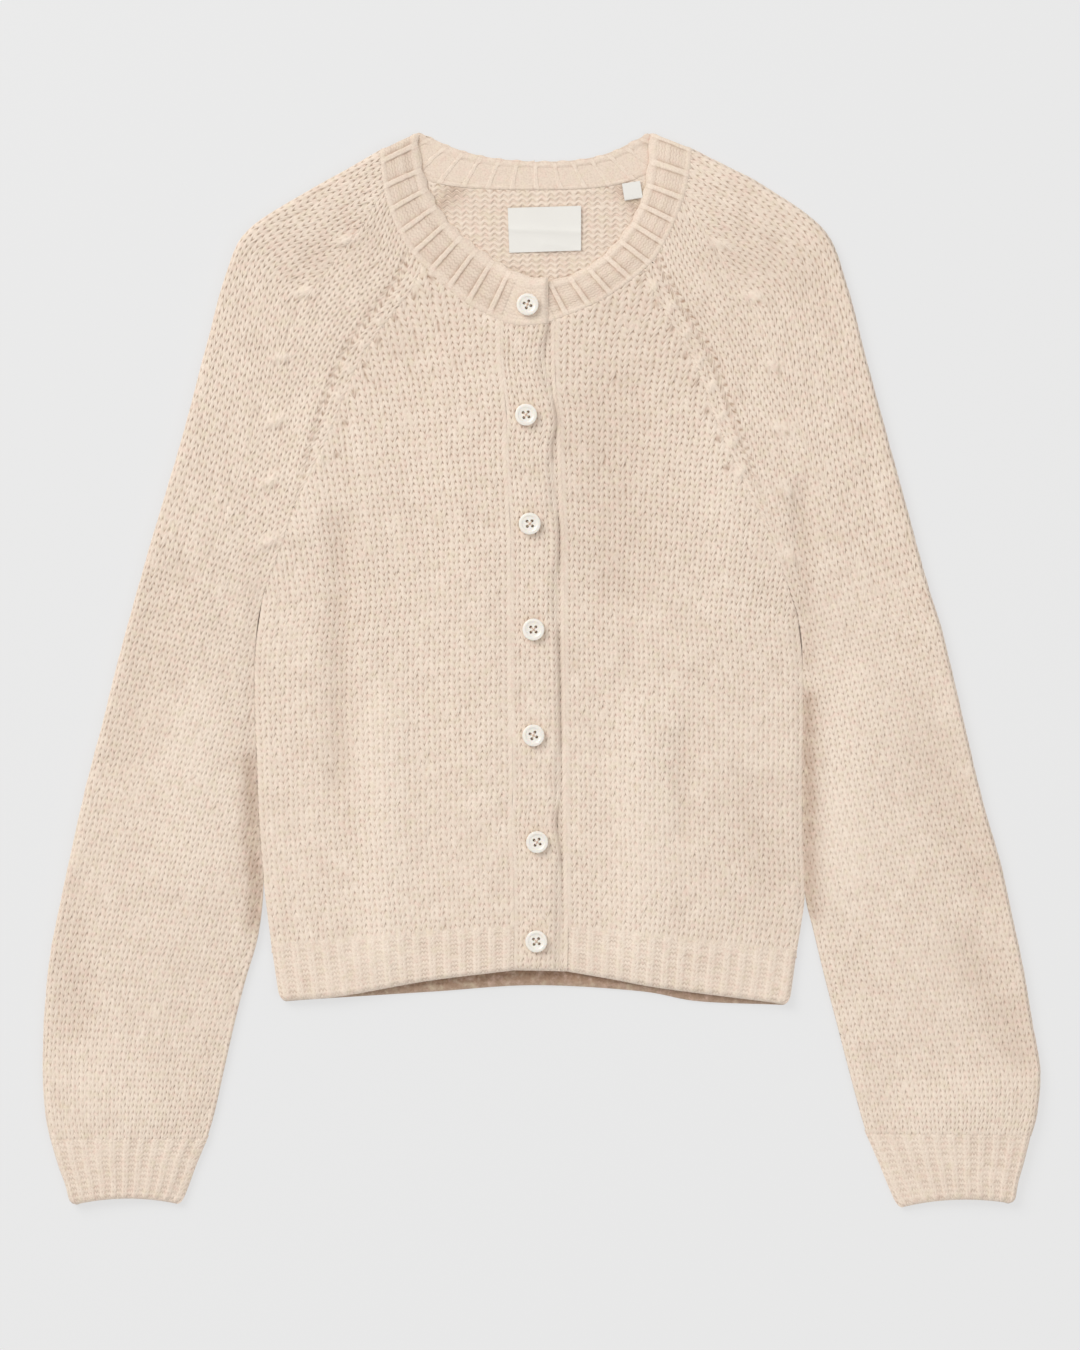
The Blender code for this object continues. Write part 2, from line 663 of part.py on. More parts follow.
def button_mesh(shell):
    """A turned button with a raised rim and four round holes through it."""
    radius = BUTTON_DIAMETER / 2
    # Radius and height of each ring, from the rim of the base to the edge of the recess
    profile = (
        (radius - 1.6, 0.0),
        (radius - 0.4, 0.7),
        (radius, 1.6),
        (radius - 0.4, BUTTON_THICKNESS - 0.4),
        (radius - 1.1, BUTTON_THICKNESS),
        (radius - BUTTON_RIM, BUTTON_THICKNESS - BUTTON_RECESS),
    )
    sides = BUTTON_SIDES
    mesh = bmesh.new()
    rings = []
    for r, z in profile:
        angles = 2 * np.pi * np.arange(sides) / sides
        ring = [mesh.verts.new((r * np.cos(a) * MM, r * np.sin(a) * MM, z * MM)) for a in angles]
        rings.append(ring)
    for low, high in zip(rings[:-1], rings[1:]):
        for i in range(sides):
            j = (i + 1) % sides
            mesh.faces.new((low[i], low[j], high[j], high[i]))
    mesh.faces.new(rings[0])
    mesh.faces.new(rings[-1])
    blank = finish("button_blank", mesh, shell)

    holes = bmesh.new()
    for x in (-BUTTON_HOLE_SPREAD, BUTTON_HOLE_SPREAD):
        for y in (-BUTTON_HOLE_SPREAD, BUTTON_HOLE_SPREAD):
            made = bmesh.ops.create_cone(
                holes, cap_ends=True, segments=BUTTON_HOLE_SIDES, radius1=BUTTON_HOLE / 2 * MM,
                radius2=BUTTON_HOLE / 2 * MM, depth=4 * BUTTON_THICKNESS * MM,
            )
            bmesh.ops.translate(holes, verts=made["verts"], vec=(x * MM, y * MM, 0))
    cutter = finish("button_cutter", holes, shell)
    cut = blank.modifiers.new("holes", "BOOLEAN")
    cut.operation = "DIFFERENCE"
    cut.object = cutter
    bpy.context.view_layer.update()
    graph = bpy.context.evaluated_depsgraph_get()
    mesh = bpy.data.meshes.new_from_object(blank.evaluated_get(graph))
    bpy.data.objects.remove(blank)
    bpy.data.objects.remove(cutter)
    return mesh


def make_buttons(closed, shell):
    """Seven buttons, each resting on the layer below it."""
    mesh = button_mesh(shell)
    for number, place in enumerate(BUTTONS, start=1):
        angles = np.linspace(0, 2 * np.pi, BUTTON_SIDES)
        ring = np.stack([np.cos(angles), np.sin(angles)], axis=1) * BUTTON_DIAMETER / 2
        below = np.array([place.x, place.y]) + ring
        top = top_level(below, closed).max() + WALL / 2
        button = bpy.data.objects.new(f"button_{number}", mesh)
        button.location = (place.x * MM, place.y * MM, (top + CLEAR) * MM)
        button.rotation_euler.z = np.radians(place.turn)
        bpy.context.collection.objects.link(button)


def make_label(satin):
    """The woven label, lying on the back with a slight wave in it."""
    corners = [np.array(c) for c in LABEL_CORNERS]
    columns, rows = 9, 3
    top = through(corners[:2], columns)
    bottom = through(corners[2:], columns)
    first = through([corners[0], corners[2]], rows)
    last = through([corners[1], corners[3]], rows)
    grid = patch(top, bottom, first, last)
    wave = 0.45 * (1 + np.sin(grid[..., 0] / 6.5 + grid[..., 1] / 11.0))
    height = WALL + CLEAR + LABEL_WALL / 2 + wave
    wall("neck_label", with_height(grid, height), satin, thickness=LABEL_WALL, out=(0, 0, 1), edge=0.1)


def make_size_tab(satin):
    """A short tape folded in two, caught in the back neck seam by both ends."""
    turn = np.radians(TAB_TURN)
    down = np.array([-np.sin(turn), -np.cos(turn)])
    across = np.array([np.cos(turn), -np.sin(turn)])
    low = WALL + CLEAR + TAB_WALL / 2
    radius = 0.5
    stations = [(0.0, low), (TAB_LENGTH / 2, low)]
    for step in range(FOLD_STEPS + 1):
        angle = -np.pi / 2 + np.pi * step / FOLD_STEPS
        stations.append((TAB_LENGTH + radius * np.cos(angle), low + radius * (1 + np.sin(angle))))
    stations += [(TAB_LENGTH / 2, low + 2 * radius), (0.0, low + 2 * radius)]
    rows = []
    for far, height in stations:
        middle = np.array(TAB_ROOT) + down * far
        ends = [middle + across * TAB_WIDTH * share for share in (-0.5, 0.0, 0.5)]
        rows.append([(*end, height) for end in ends])
    wall("size_tab", rows, satin, thickness=TAB_WALL, edge=0.1)


def build():
    """Every piece of the cardigan."""
    for thing in list(bpy.data.objects):
        bpy.data.objects.remove(thing)
    knit = material("cream wool knit", (0.80, 0.68, 0.55), 0.95)
    rib = material("cream wool rib", (0.82, 0.70, 0.57), 0.95)
    shell = material("ivory button", (0.90, 0.87, 0.82), 0.35)
    satin = material("off-white tape", (0.88, 0.87, 0.83), 0.6)

    right_closed, right_body = closed_lines_of(RIGHT_SLEEVE, RIGHT_SIDE)
    left_closed, left_body = closed_lines_of(LEFT_SLEEVE, LEFT_SIDE)
    body_closed = [right_body, left_body]

    def edge_of(sections, column):
        """The raglan seam and the side below it, as far as the body follows the sleeve."""
        return [tuple(s[column:column + 2]) for s in sections[:BODY_MEETS_SLEEVE]]

    first_corner, last_corner = NECK_BACK_CORNERS
    back_grid = patch(
        through(NECK_BACK, PANEL_COLUMNS, first_corner, last_corner),
        through(HEM_TOP_BACK, PANEL_COLUMNS),
        through([*edge_of(RIGHT_SLEEVE, 4), *RIGHT_SIDE], SIDE_ROWS),
        through([*edge_of(LEFT_SLEEVE, 4), *LEFT_SIDE], SIDE_ROWS),
    )
    wall("back", with_height(back_grid, BACK_Z), knit, out=(0, 0, 1))
    make_hem("hem_back", HEM_TOP_BACK, HEM_EDGE_BACK, body_closed, rib, back_level, False)

    make_front(
        "front_right", [*edge_of(RIGHT_SLEEVE, 2), *RIGHT_SIDE],
        placket_line("seam_x", NECK_RIGHT[BAND_CORNER], HEM_TOP_RIGHT[-1:]),
        through(NECK_RIGHT, PANEL_COLUMNS, NECK_CORNER, BAND_CORNER),
        HEM_TOP_RIGHT, body_closed, knit, right_level,
    )
    make_front(
        "front_left", [*edge_of(LEFT_SLEEVE, 2), *LEFT_SIDE],
        placket_line("under_seam_x", NECK_LEFT[BAND_CORNER], HEM_TOP_LEFT[:1]),
        through(NECK_LEFT, PANEL_COLUMNS, NECK_CORNER, BAND_CORNER),
        HEM_TOP_LEFT[::-1], body_closed, knit, left_level,
    )
    make_hem("hem_front_right", HEM_TOP_RIGHT, HEM_EDGE_RIGHT, body_closed, rib, right_level, True)
    make_hem("hem_front_left", HEM_TOP_LEFT, HEM_EDGE_LEFT, body_closed, rib, left_level, True)
    make_band(
        "button_band",
        placket_line("seam_x", NECK_RIGHT[BAND_CORNER], (HEM_TOP_RIGHT[-1], BAND_EDGE[0])),
        placket_line("edge_x", NECK_RIGHT[0], BAND_EDGE[1:]),
        NECK_RIGHT[BAND_CORNER::-1], BAND_EDGE, body_closed, knit, top_level,
    )
    make_band(
        "under_band",
        placket_line("under_edge_x", NECK_LEFT[0], UNDER_BAND_EDGE[:1]),
        placket_line("under_seam_x", NECK_LEFT[BAND_CORNER], (HEM_TOP_LEFT[0], UNDER_BAND_EDGE[1])),
        NECK_LEFT[:BAND_CORNER + 1], UNDER_BAND_EDGE, body_closed, knit, left_level,
    )

    shoulder = len(NECK_RIGHT) - 1
    make_sleeve(
        "sleeve_right", RIGHT_SLEEVE, through(NECK_RIGHT, 9, NECK_CORNER, shoulder),
        through(NECK_BACK, 5, first_corner, 0), right_closed, knit,
    )
    make_sleeve(
        "sleeve_left", LEFT_SLEEVE, through(NECK_LEFT, 9, NECK_CORNER, shoulder),
        through(NECK_BACK, 5, last_corner, len(NECK_BACK) - 1), left_closed, knit,
    )
    make_cuff("cuff_right", RIGHT_CUFF, right_closed, rib)
    make_cuff("cuff_left", LEFT_CUFF, left_closed, rib)

    make_neckband(body_closed, rib)
    make_buttons(body_closed, shell)
    make_label(satin)
    make_size_tab(satin)


build()
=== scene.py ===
import bpy
import numpy as np
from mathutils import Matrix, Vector


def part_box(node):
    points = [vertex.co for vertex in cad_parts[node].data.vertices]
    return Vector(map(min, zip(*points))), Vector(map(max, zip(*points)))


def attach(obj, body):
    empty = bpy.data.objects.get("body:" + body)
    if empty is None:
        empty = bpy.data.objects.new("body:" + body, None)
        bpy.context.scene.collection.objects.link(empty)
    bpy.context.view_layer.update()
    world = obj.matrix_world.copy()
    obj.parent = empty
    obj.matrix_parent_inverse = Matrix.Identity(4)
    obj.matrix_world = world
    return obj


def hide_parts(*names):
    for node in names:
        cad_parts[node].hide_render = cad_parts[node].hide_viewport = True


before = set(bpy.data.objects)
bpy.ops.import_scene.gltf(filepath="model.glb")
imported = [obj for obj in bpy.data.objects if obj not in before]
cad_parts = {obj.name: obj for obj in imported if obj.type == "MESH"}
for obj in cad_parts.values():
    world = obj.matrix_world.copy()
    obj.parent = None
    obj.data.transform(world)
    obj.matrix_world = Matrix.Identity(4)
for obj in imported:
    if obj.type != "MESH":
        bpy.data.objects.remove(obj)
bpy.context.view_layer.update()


# ------------------------------------------------------------------ The back
# One panel of stockinette in cream aran wool, knitted up from the hem and decreased
# along both raglans. It lies with its right side down on the surface, so its wrong
# side shows inside the neck opening.

MM = 0.001
WALL = 2.6  # thickness of the knit, in millimetres as every size here is
RELIEF = 1.35  # from the holes between stitches to the top of a stitch
CREST = 0.35  # how far the top of a stitch stands above the plain wall
EDGE_REACH = 2.8  # how far in from an edge the cloth rolls over
ROW = 4.5  # height of one row of stitches
wander = np.random.default_rng(11)

# The side seams up to the underarm, where the sleeves lie against the body
RIGHT_SIDE = (
    (-184.0, -188.5), (-187.0, -165.0), (-189.5, -143.0), (-192.5, -102.0), (-194.0, -61.0),
    (-195.5, -23.0), (-195.0, 13.5), (-190.5, 47.5),
)
LEFT_SIDE = (
    (174.0, -192.0), (177.0, -173.5), (179.5, -151.5), (178.0, -112.0), (178.0, -71.5),
    (178.5, -30.5), (178.0, 3.5), (175.0, 34.0),
)
RIGHT_BACK_RAGLAN = (
    (-170.0, 99.5), (-151.0, 156.5), (-134.0, 201.5), (-115.0, 241.5), (-94.0, 283.0),
    (-83.0, 304.5), (-75.0, 333.0),
)
LEFT_BACK_RAGLAN = (
    (156.5, 90.0), (138.0, 155.0), (121.0, 200.0), (102.0, 241.5), (81.5, 284.0),
    (72.0, 307.5), (64.0, 334.5),
)
NECK_BACK = (
    (-110.0, 354.5), (-93.0, 342.5), (-75.0, 333.0), (-45.5, 328.5), (-1.5, 327.5),
    (38.0, 329.0), (64.0, 334.5), (83.5, 345.0), (102.5, 355.5),
)
HEM_TOP_BACK = ((-184.0, -188.5), (-5.0, -183.0), (174.0, -192.0))
# Where the two ends of the back's neck seam go down under the front of the neckband, and where shade is
# painted on the inside of the back
NECK_CORNERS = np.array([(-72.0, 316.0), (-58.0, 327.0), (55.0, 327.0), (66.0, 316.0)])

# Soft troughs and ridges in the layers on top, with painted shade in the troughs and painted light on the
# ridges: from x, y to x, y, then width and height
FOLDS = (
    (-136.0, 95.0, -138.0, -75.0, 10.0, -2.4), (-106.0, -30.0, -107.0, -190.0, 15.0, 2.2),
    (-160.0, 170.0, -165.0, 100.0, 14.0, 1.2), (-100.0, 225.0, -60.0, 240.0, 28.0, -1.2),
    (60.0, 240.0, 105.0, 215.0, 28.0, -1.2), (44.0, 187.0, 52.0, 65.0, 30.0, -1.9),
    (67.0, -34.0, 67.0, -190.0, 18.0, 1.9), (95.0, -48.0, 97.0, -109.0, 8.0, -1.6),
    (142.0, -88.0, 152.0, -150.0, 16.0, -1.6), (120.0, 150.0, 132.0, 34.0, 14.0, 0.9),
    (-165.0, 275.0, -120.0, 290.0, 22.0, -1.4), (-232.0, -34.0, -239.0, -129.0, 20.0, 1.6),
    (-285.0, -60.0, -255.0, 60.0, 16.0, -1.3), (-322.0, -150.0, -318.0, -235.0, 14.0, -1.5),
    (-300.0, -285.0, -270.0, -300.0, 24.0, 1.5), (210.0, -14.0, 206.0, -129.0, 18.0, 1.6),
    (261.0, -54.0, 305.0, -143.0, 18.0, -1.6), (328.0, -262.0, 292.0, -190.0, 15.0, -2.2),
    (265.0, -300.0, 300.0, -290.0, 20.0, 1.8), (130.0, 285.0, 185.0, 265.0, 22.0, -1.4),
    (177.0, 120.0, 181.0, 10.0, 8.0, -2.6), (-196.0, 40.0, -197.0, -80.0, 5.0, -1.6),
    (-195.0, -85.0, -191.0, -165.0, 5.0, -1.8), (181.0, 5.0, 180.0, -160.0, 5.0, -2.0),
)
FOLD_SHADE = 0.065  # how much a trough is painted in shade, and a ridge in light, for each millimetre of its height
BARE_TONE = 0.92  # the tone of the stitches, between the shade and the full cream
LINING_TONE = 0.85
# How uneven the stitches are in their height, their holes, up and down, and in tone
UNEVEN_RISE, UNEVEN_HOLES, UNEVEN_UP, UNEVEN_TONE = 0.08, 0.2, 0.09, 0.05

# Where the mesh has its lines across one row of stitches
FINE, COARSE, FLAT = (0.0, 0.27, 0.73), (0.0, 0.5), (0.0,)
# How the mesh crosses one repeat of a knit. Each line is a place in the repeat, how far
# the rows hang down there, the height between two stitches and on one stitch, and how
# dark the holes are painted, as shade in the recess between stitches.
UNDERSIDE = ((0.0, 0.0, 0.0, 0.6, 1.0), (0.5, 0.5, 0.6, 1.0, 1.0))
PLAIN = ((0.0, 0.0, 1.0, 1.0, 0.0),)
WRONG_SIDE = (
    (0.0, 0.28, 0.3, 0.9, 0.15), (0.125, 0.2, 0.22, 0.96, 0.35), (0.25, 0.0, 0.1, 1.0, 0.7),
    (0.375, -0.2, 0.0, 0.97, 0.95), (0.5, -0.28, 0.0, 0.9, 1.0), (0.625, -0.2, 0.0, 0.97, 0.95),
    (0.75, 0.0, 0.1, 1.0, 0.7), (0.875, 0.2, 0.22, 0.96, 0.35),
)


def curve(points, first=0, last=None):
    """The smooth line through some points, or its stretch between two of them."""
    p = np.array(points, float)
    last = len(p) - 1 if last is None else last
    p = np.vstack([2 * p[0] - p[1], p, 2 * p[-1] - p[-2]])
    t = np.linspace(0, 1, 12, endpoint=False)[:, None]
    line = []
    for a, b, c, d in zip(p[:-3], p[1:-2], p[2:-1], p[3:]):
        bend = (2 * a - 5 * b + 4 * c - d) * t**2 + (3 * b - a - 3 * c + d) * t**3
        line.append(b + 0.5 * ((c - a) * t + bend))
    line = np.vstack([*line, p[-2]])
    low, high = sorted((first, last))
    part = line[low * 12:high * 12 + 1]
    return part if first <= last else part[::-1]


def along(line, shares):
    """Places at shares of a line's length."""
    steps = np.linalg.norm(np.diff(line, axis=0), axis=1)
    at = np.concatenate([[0], np.cumsum(steps)]) / steps.sum()
    return np.stack([np.interp(shares, at, line[:, 0]), np.interp(shares, at, line[:, 1])], axis=-1)


def x_on(line, y):
    order = np.argsort(line[:, 1])
    return np.interp(y, line[order, 1], line[order, 0])


def y_on(line, x):
    order = np.argsort(line[:, 0])
    return np.interp(x, line[order, 0], line[order, 1])


def gap(places, line):
    """How far places in the plan are from a line."""
    best = np.full(places.shape[:-1], 1e9)
    for a, b in zip(line[:-1], line[1:]):
        d = b - a
        t = np.clip(((places - a) @ d) / max(d @ d, 1e-9), 0, 1)
        best = np.minimum(best, ((places - a - t[..., None] * d) ** 2).sum(axis=-1))
    return np.sqrt(best)


def rounded(distance, depth, reach):
    """How far a surface sinks as it rounds over to an edge or a seam."""
    near = 1 - np.clip(distance / reach, 0, 1)
    return depth * (1 - np.sqrt(np.maximum(1 - near**2, 0)))


def smooth(value, start, end):
    t = np.clip((value - start) / (end - start), 0, 1)
    return t * t * (3 - 2 * t)


def folds_at(plan):
    """How far the soft folds raise or sink the cloth at places in the plan."""
    total = np.zeros(plan.shape[:-1])
    for x0, y0, x1, y1, width, height in FOLDS:
        total += height * np.exp(-((gap(plan, np.array([(x0, y0), (x1, y1)])) / width) ** 2))
    return total


def uneven(wales, rows, u, p, amount):
    """A small hand-made unevenness, one value for each stitch, blended between them."""
    grid = wander.normal(0, amount, (int(wales) + 3, int(rows) + 6))
    a, b = np.clip(u, 0, wales) * 0.999, np.clip(p + 2, 0, rows + 4) * 0.999
    i, j = a.astype(int), b.astype(int)
    f, g = a - i, b - j
    low = grid[i, j] * (1 - f) + grid[i + 1, j] * f
    high = grid[i, j + 1] * (1 - f) + grid[i + 1, j + 1] * f
    return low * (1 - g) + high * g


def shades(points, out):
    """The tone of the stitches, with painted shade in a trough and painted light on a ridge, and how dark the
    painted shade in the holes is, more so higher up.
    """
    cloudy = np.sin(points[..., 0] / 21.0 + 1.0) * np.sin(points[..., 1] / 27.0)
    height_up = 0.56 * smooth(points[..., 1], -110, 230) + 0.2 * smooth(points[..., 1], 190, 310)
    bare = BARE_TONE + FOLD_SHADE * folds_at(points[..., :2]) * np.clip(out[..., 2], 0, 1)
    return bare, 0.66 + height_up + 0.16 * cloudy


def knit(
    table, wales, rows, place, start=0.0, from_row=0, steps=FINE, relief=RELIEF, crest=CREST,
    loose=1.0, stray=0.06, marks=None,
):
    """One area of knitting: its points, their tone and the way out.

    Place gives the points of the plain wall, the way out, how firm the relief is there,
    and how far the cloth has sunk. Start and from_row are the first wale and row. Loose is
    how uneven the stitches are and stray how far they wander sideways. Marks raises knots,
    sinks holes and lays shade on the area.
    """
    at, hang, low, high, dark = np.array(table).T
    repeats = int(np.ceil(wales))
    u = np.append((np.arange(repeats)[:, None] + at[None]).ravel(), repeats)
    hang, low, high, dark = (np.append(np.tile(k, repeats), k[0]) for k in (hang, low, high, dark))
    p = (np.arange(-1, int(np.ceil(rows)) + 2)[:, None] + np.array(steps)).ravel()
    stitch = np.abs(np.sin(np.pi * p))[:, None] ** 0.45
    wide, tall = np.broadcast_arrays(u[None], p[:, None])
    height = (low + (high - low) * stitch) * (1 + loose * uneven(repeats, rows, wide, tall, UNEVEN_RISE))
    holes = uneven(repeats, rows, wide, tall, UNEVEN_HOLES)
    height = np.clip(height + loose * (1 - height) * holes, 0, 1)
    inside = np.clip(np.minimum(wide, wales - wide), 0, 1)
    across = wide + inside * uneven(repeats, rows, wide, tall, stray)
    up = tall - hang
    inside = np.clip(np.minimum(up, rows - up), 0, 1)
    up = up + loose * inside * uneven(repeats, rows, wide, tall, UNEVEN_UP)
    points, out, firm, sunk = place(np.clip(across, 0, wales) + start, np.clip(up, 0, rows) + from_row)
    bare, open_up = shades(points, out) if loose else (LINING_TONE, 1.0)
    # painted shade: the holes between stitches are darkened towards the shade colour, less so beside an edge
    tone = bare - dark * open_up * (1 - smooth(height, 0.0, 0.66)) * (0.3 + 0.7 * firm)
    # painted light where the cloth rolls over an edge or dips into a seam
    tone = tone + 0.05 * smooth(sunk, 0.3, 2.6) + loose * uneven(repeats, rows, wide, tall, UNEVEN_TONE)
    rise = crest - relief * (1 - height) * firm - sunk
    if marks is not None:
        rise, tone = marks(points, out, rise, tone)
    return points + out * rise[..., None], np.clip(tone, 0, 1), out


def quads_of(points, out):
    """The faces of a grid that keep an area, turned to face out."""
    rows, columns = points.shape[:2]
    index = np.arange(rows * columns).reshape(rows, columns)
    a, b, c, d = index[:-1, :-1], index[:-1, 1:], index[1:, 1:], index[1:, :-1]
    faces = np.stack([a, b, c, d], axis=-1).reshape(-1, 4)
    flat = points.reshape(-1, 3)
    cross = np.cross(flat[faces[:, 2]] - flat[faces[:, 0]], flat[faces[:, 3]] - flat[faces[:, 1]])
    faces = faces[np.linalg.norm(cross, axis=1) > 0.004]
    facing = (cross * out.reshape(-1, 3)[index[:-1, :-1].ravel()]).sum()
    return faces if facing > 0 else faces[:, ::-1]


def make_cloth(name, areas, surface, node):
    """One piece of cloth from its areas of knitting, standing for its plain solid."""
    points, tones, faces, count = [], [], [], 0
    for area_points, area_tone, out in areas:
        made = quads_of(area_points, out)
        used, made = np.unique(made, return_inverse=True)
        points.append(area_points.reshape(-1, 3)[used])
        tones.append(area_tone.reshape(-1)[used])
        faces.append(made.reshape(-1, 4) + count)
        count += len(used)
    points, tones, faces = (np.concatenate(k) for k in (points, tones, faces))
    mesh = bpy.data.meshes.new(name)
    mesh.from_pydata((points * MM).tolist(), [], faces.tolist())
    # The stitch tone carries painted shade in holes, troughs and beside what lies on the cloth, painted light
    # on ridges, knots and rolled edges, and the stitches' own uneven tone
    attribute = mesh.attributes.new("stitch_tone_and_painted_shade", "FLOAT", "POINT")
    attribute.data.foreach_set("value", tones.astype(np.float32))
    mesh.validate()
    mesh.shade_smooth()
    mesh.materials.append(surface)
    cloth = bpy.data.objects.new(name, mesh)
    bpy.context.scene.collection.objects.link(cloth)
    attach(cloth, "root")
    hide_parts(node)
    return cloth


def link(tree, source, target):
    tree.links.new(source, target)


def fill(node, values):
    """Sets values on a node's own sockets."""
    for name, value in values.items():
        node.inputs[name].default_value = value
    return node


def new_material(name, values):
    """A new material, its tree and its shader, with values set on the shader."""
    made = bpy.data.materials.new(name)
    made.use_nodes = True
    return made, made.node_tree, fill(made.node_tree.nodes["Principled BSDF"], values)


def roughen(tree, shader, height, strength, distance):
    """Gives a shader a fine relief from the heights of a pattern."""
    bump = fill(tree.nodes.new("ShaderNodeBump"), {"Strength": strength, "Distance": distance})
    link(tree, height, bump.inputs["Height"])
    link(tree, bump.outputs["Normal"], shader.inputs["Normal"])


def fibre_group():
    """Brushed wool: fine crossing fibres, small mottled patches and holes darkened with painted shade."""
    group = bpy.data.node_groups.new("brushed wool", "ShaderNodeTree")
    for name in ("Crest", "Hole", "Rose", "Straw"):
        group.interface.new_socket(name, in_out="INPUT", socket_type="NodeSocketColor")
    for name in ("Mottle", "Grain"):
        group.interface.new_socket(name, in_out="INPUT", socket_type="NodeSocketFloat")
    group.interface.new_socket("Colour", in_out="OUTPUT", socket_type="NodeSocketColor")
    group.interface.new_socket("Fibres", in_out="OUTPUT", socket_type="NodeSocketFloat")
    nodes = group.nodes
    given, sent = nodes.new("NodeGroupInput"), nodes.new("NodeGroupOutput")
    place = nodes.new("ShaderNodeTexCoord").outputs["Object"]
    tone = nodes.new("ShaderNodeAttribute")
    tone.attribute_name = "stitch_tone_and_painted_shade"

    def noise(scale, detail, roughness):
        made = nodes.new("ShaderNodeTexNoise")
        fill(made, {"Scale": scale, "Detail": detail, "Roughness": roughness})
        link(group, place, made.inputs["Vector"])
        return made.outputs["Fac"]

    def mix(share, first, second):
        """One colour laid over another by a share, on the node's colour sockets."""
        made = nodes.new("ShaderNodeMix")
        made.data_type = "RGBA"
        link(group, share, made.inputs["Factor"])
        link(group, first, made.inputs[6])
        link(group, second, made.inputs[7])
        return made.outputs[2]

    # painted shade and light: the stitch tone mixes the hole colour into the cream
    colour = mix(tone.outputs["Fac"], given.outputs["Hole"], given.outputs["Crest"])
    # Patches of rose and straw, then dark grain: the pattern, its range, the amount, the colour
    for pattern, low, high, amount, stain in (
        ((210.0, 3.0, 0.6), 0.5, 0.8, "Mottle", "Rose"),
        ((150.0, 3.0, 0.6), 0.5, 0.8, "Mottle", "Straw"),
        ((850.0, 2.0, 0.7), 0.42, 0.78, "Grain", "Hole"),
    ):
        ramp = fill(nodes.new("ShaderNodeMapRange"), {"From Min": low, "From Max": high})
        link(group, noise(*pattern), ramp.inputs["Value"])
        share = nodes.new("ShaderNodeMath")
        share.operation = "MULTIPLY"
        link(group, ramp.outputs["Result"], share.inputs[0])
        link(group, given.outputs[amount], share.inputs[1])
        colour = mix(share.outputs["Value"], colour, given.outputs[stain])
    link(group, colour, sent.inputs["Colour"])
    link(group, noise(2600.0, 3.0, 0.7), sent.inputs["Fibres"])
    return group


BRUSHED_WOOL = fibre_group()


def wool(name, crest, hole, mottle=0.6, grain=0.16):
    """A matt wool with a soft bloom of loose fibres on it."""
    made, tree, shader = new_material(name, {
        "Roughness": 0.92, "Specular IOR Level": 0.18,
        "Sheen Weight": 0.45, "Sheen Roughness": 0.5, "Sheen Tint": (1.0, 0.95, 0.88, 1),
    })
    fibres = tree.nodes.new("ShaderNodeGroup")
    fibres.node_tree = BRUSHED_WOOL
    fill(fibres, {
        "Crest": (*crest, 1), "Hole": (*hole, 1), "Rose": (0.88, 0.64, 0.54, 1),
        "Straw": (0.82, 0.72, 0.53, 1), "Mottle": mottle, "Grain": grain,
    })
    link(tree, fibres.outputs["Colour"], shader.inputs["Base Color"])
    roughen(tree, shader, fibres.outputs["Fibres"], 0.35, 0.0004)
    return made


CREAM = (0.935, 0.80, 0.672)
# SHADE is the colour of the painted shade in the holes and hollows of the knit
SHADE = (0.40, 0.25, 0.165)
stockinette_wool = wool("cream wool stockinette", CREAM, SHADE)

right_back_edge = curve([*RIGHT_SIDE, *RIGHT_BACK_RAGLAN])
left_back_edge = curve([*LEFT_SIDE, *LEFT_BACK_RAGLAN])
back_neck = curve(NECK_BACK, 2, 6)
back_hem = curve(HEM_TOP_BACK)
BACK_WALES = 54
BACK_ROWS = 116
STRAIGHT_TO = 40.0  # the wales spread evenly up to here, and run straight up beyond it


def back_plan(u, t):
    """Places in the back panel, cut off at the raglans and at the neck."""
    share = u / BACK_WALES
    y = along(back_hem, share)[..., 1] + ROW * t
    y_side = np.minimum(y, STRAIGHT_TO)
    x = x_on(right_back_edge, y_side) * (1 - share) + x_on(left_back_edge, y_side) * share
    x = np.clip(x, x_on(right_back_edge, y), x_on(left_back_edge, y))
    return np.stack([x, np.minimum(y, y_on(back_neck, x))], axis=-1)


def at_height(plan, z):
    return np.concatenate([plan, np.broadcast_to(z, plan.shape[:-1])[..., None]], axis=-1)


def laid(plan, z, firm, sunk, way=1):
    """Places that lie flat at a height, facing up or down, as knit takes them."""
    out = np.zeros((*plan.shape[:-1], 3))
    out[..., 2] = way
    return at_height(plan, z), out, firm, sunk


def back_edge_gap(plan):
    edge = np.minimum(gap(plan, right_back_edge[::3]), gap(plan, left_back_edge[::3]))
    return np.minimum(edge, gap(plan, back_neck[::3]))


def back_underside(u, t):
    plan = back_plan(u, t)
    edge = back_edge_gap(plan)
    sunk = rounded(edge, WALL - CREST, EDGE_REACH)
    return laid(plan, CREST, np.clip(edge / 2.0, 0.3, 1), sunk, way=-1)


def back_upper(u, t):
    """The upper face under the fronts, plain because nothing shows it."""
    plan = back_plan(u, t)
    return laid(plan, WALL - 0.8, np.ones(plan.shape[:-1]), np.zeros(plan.shape[:-1]))


INSIDE_WALE = 6.4
INSIDE_ROW = 3.75
INSIDE_FROM = (-93.0, 226.0)  # the lowest corner of what shows in the neck, on the wearer's right


def back_inside(u, t):
    """The wrong side of the stitches, in the opening of the neck."""
    x = INSIDE_FROM[0] + u * INSIDE_WALE
    y = INSIDE_FROM[1] + INSIDE_ROW * t + 1.2 * np.sin(x / 31.0)
    plan = np.stack([x, np.minimum(y, y_on(back_neck, x))], axis=-1)
    edge = gap(plan, back_neck[::3])
    return laid(plan, WALL, np.clip(edge / 2.0, 0.2, 1), rounded(edge, 0.7, 3.0))


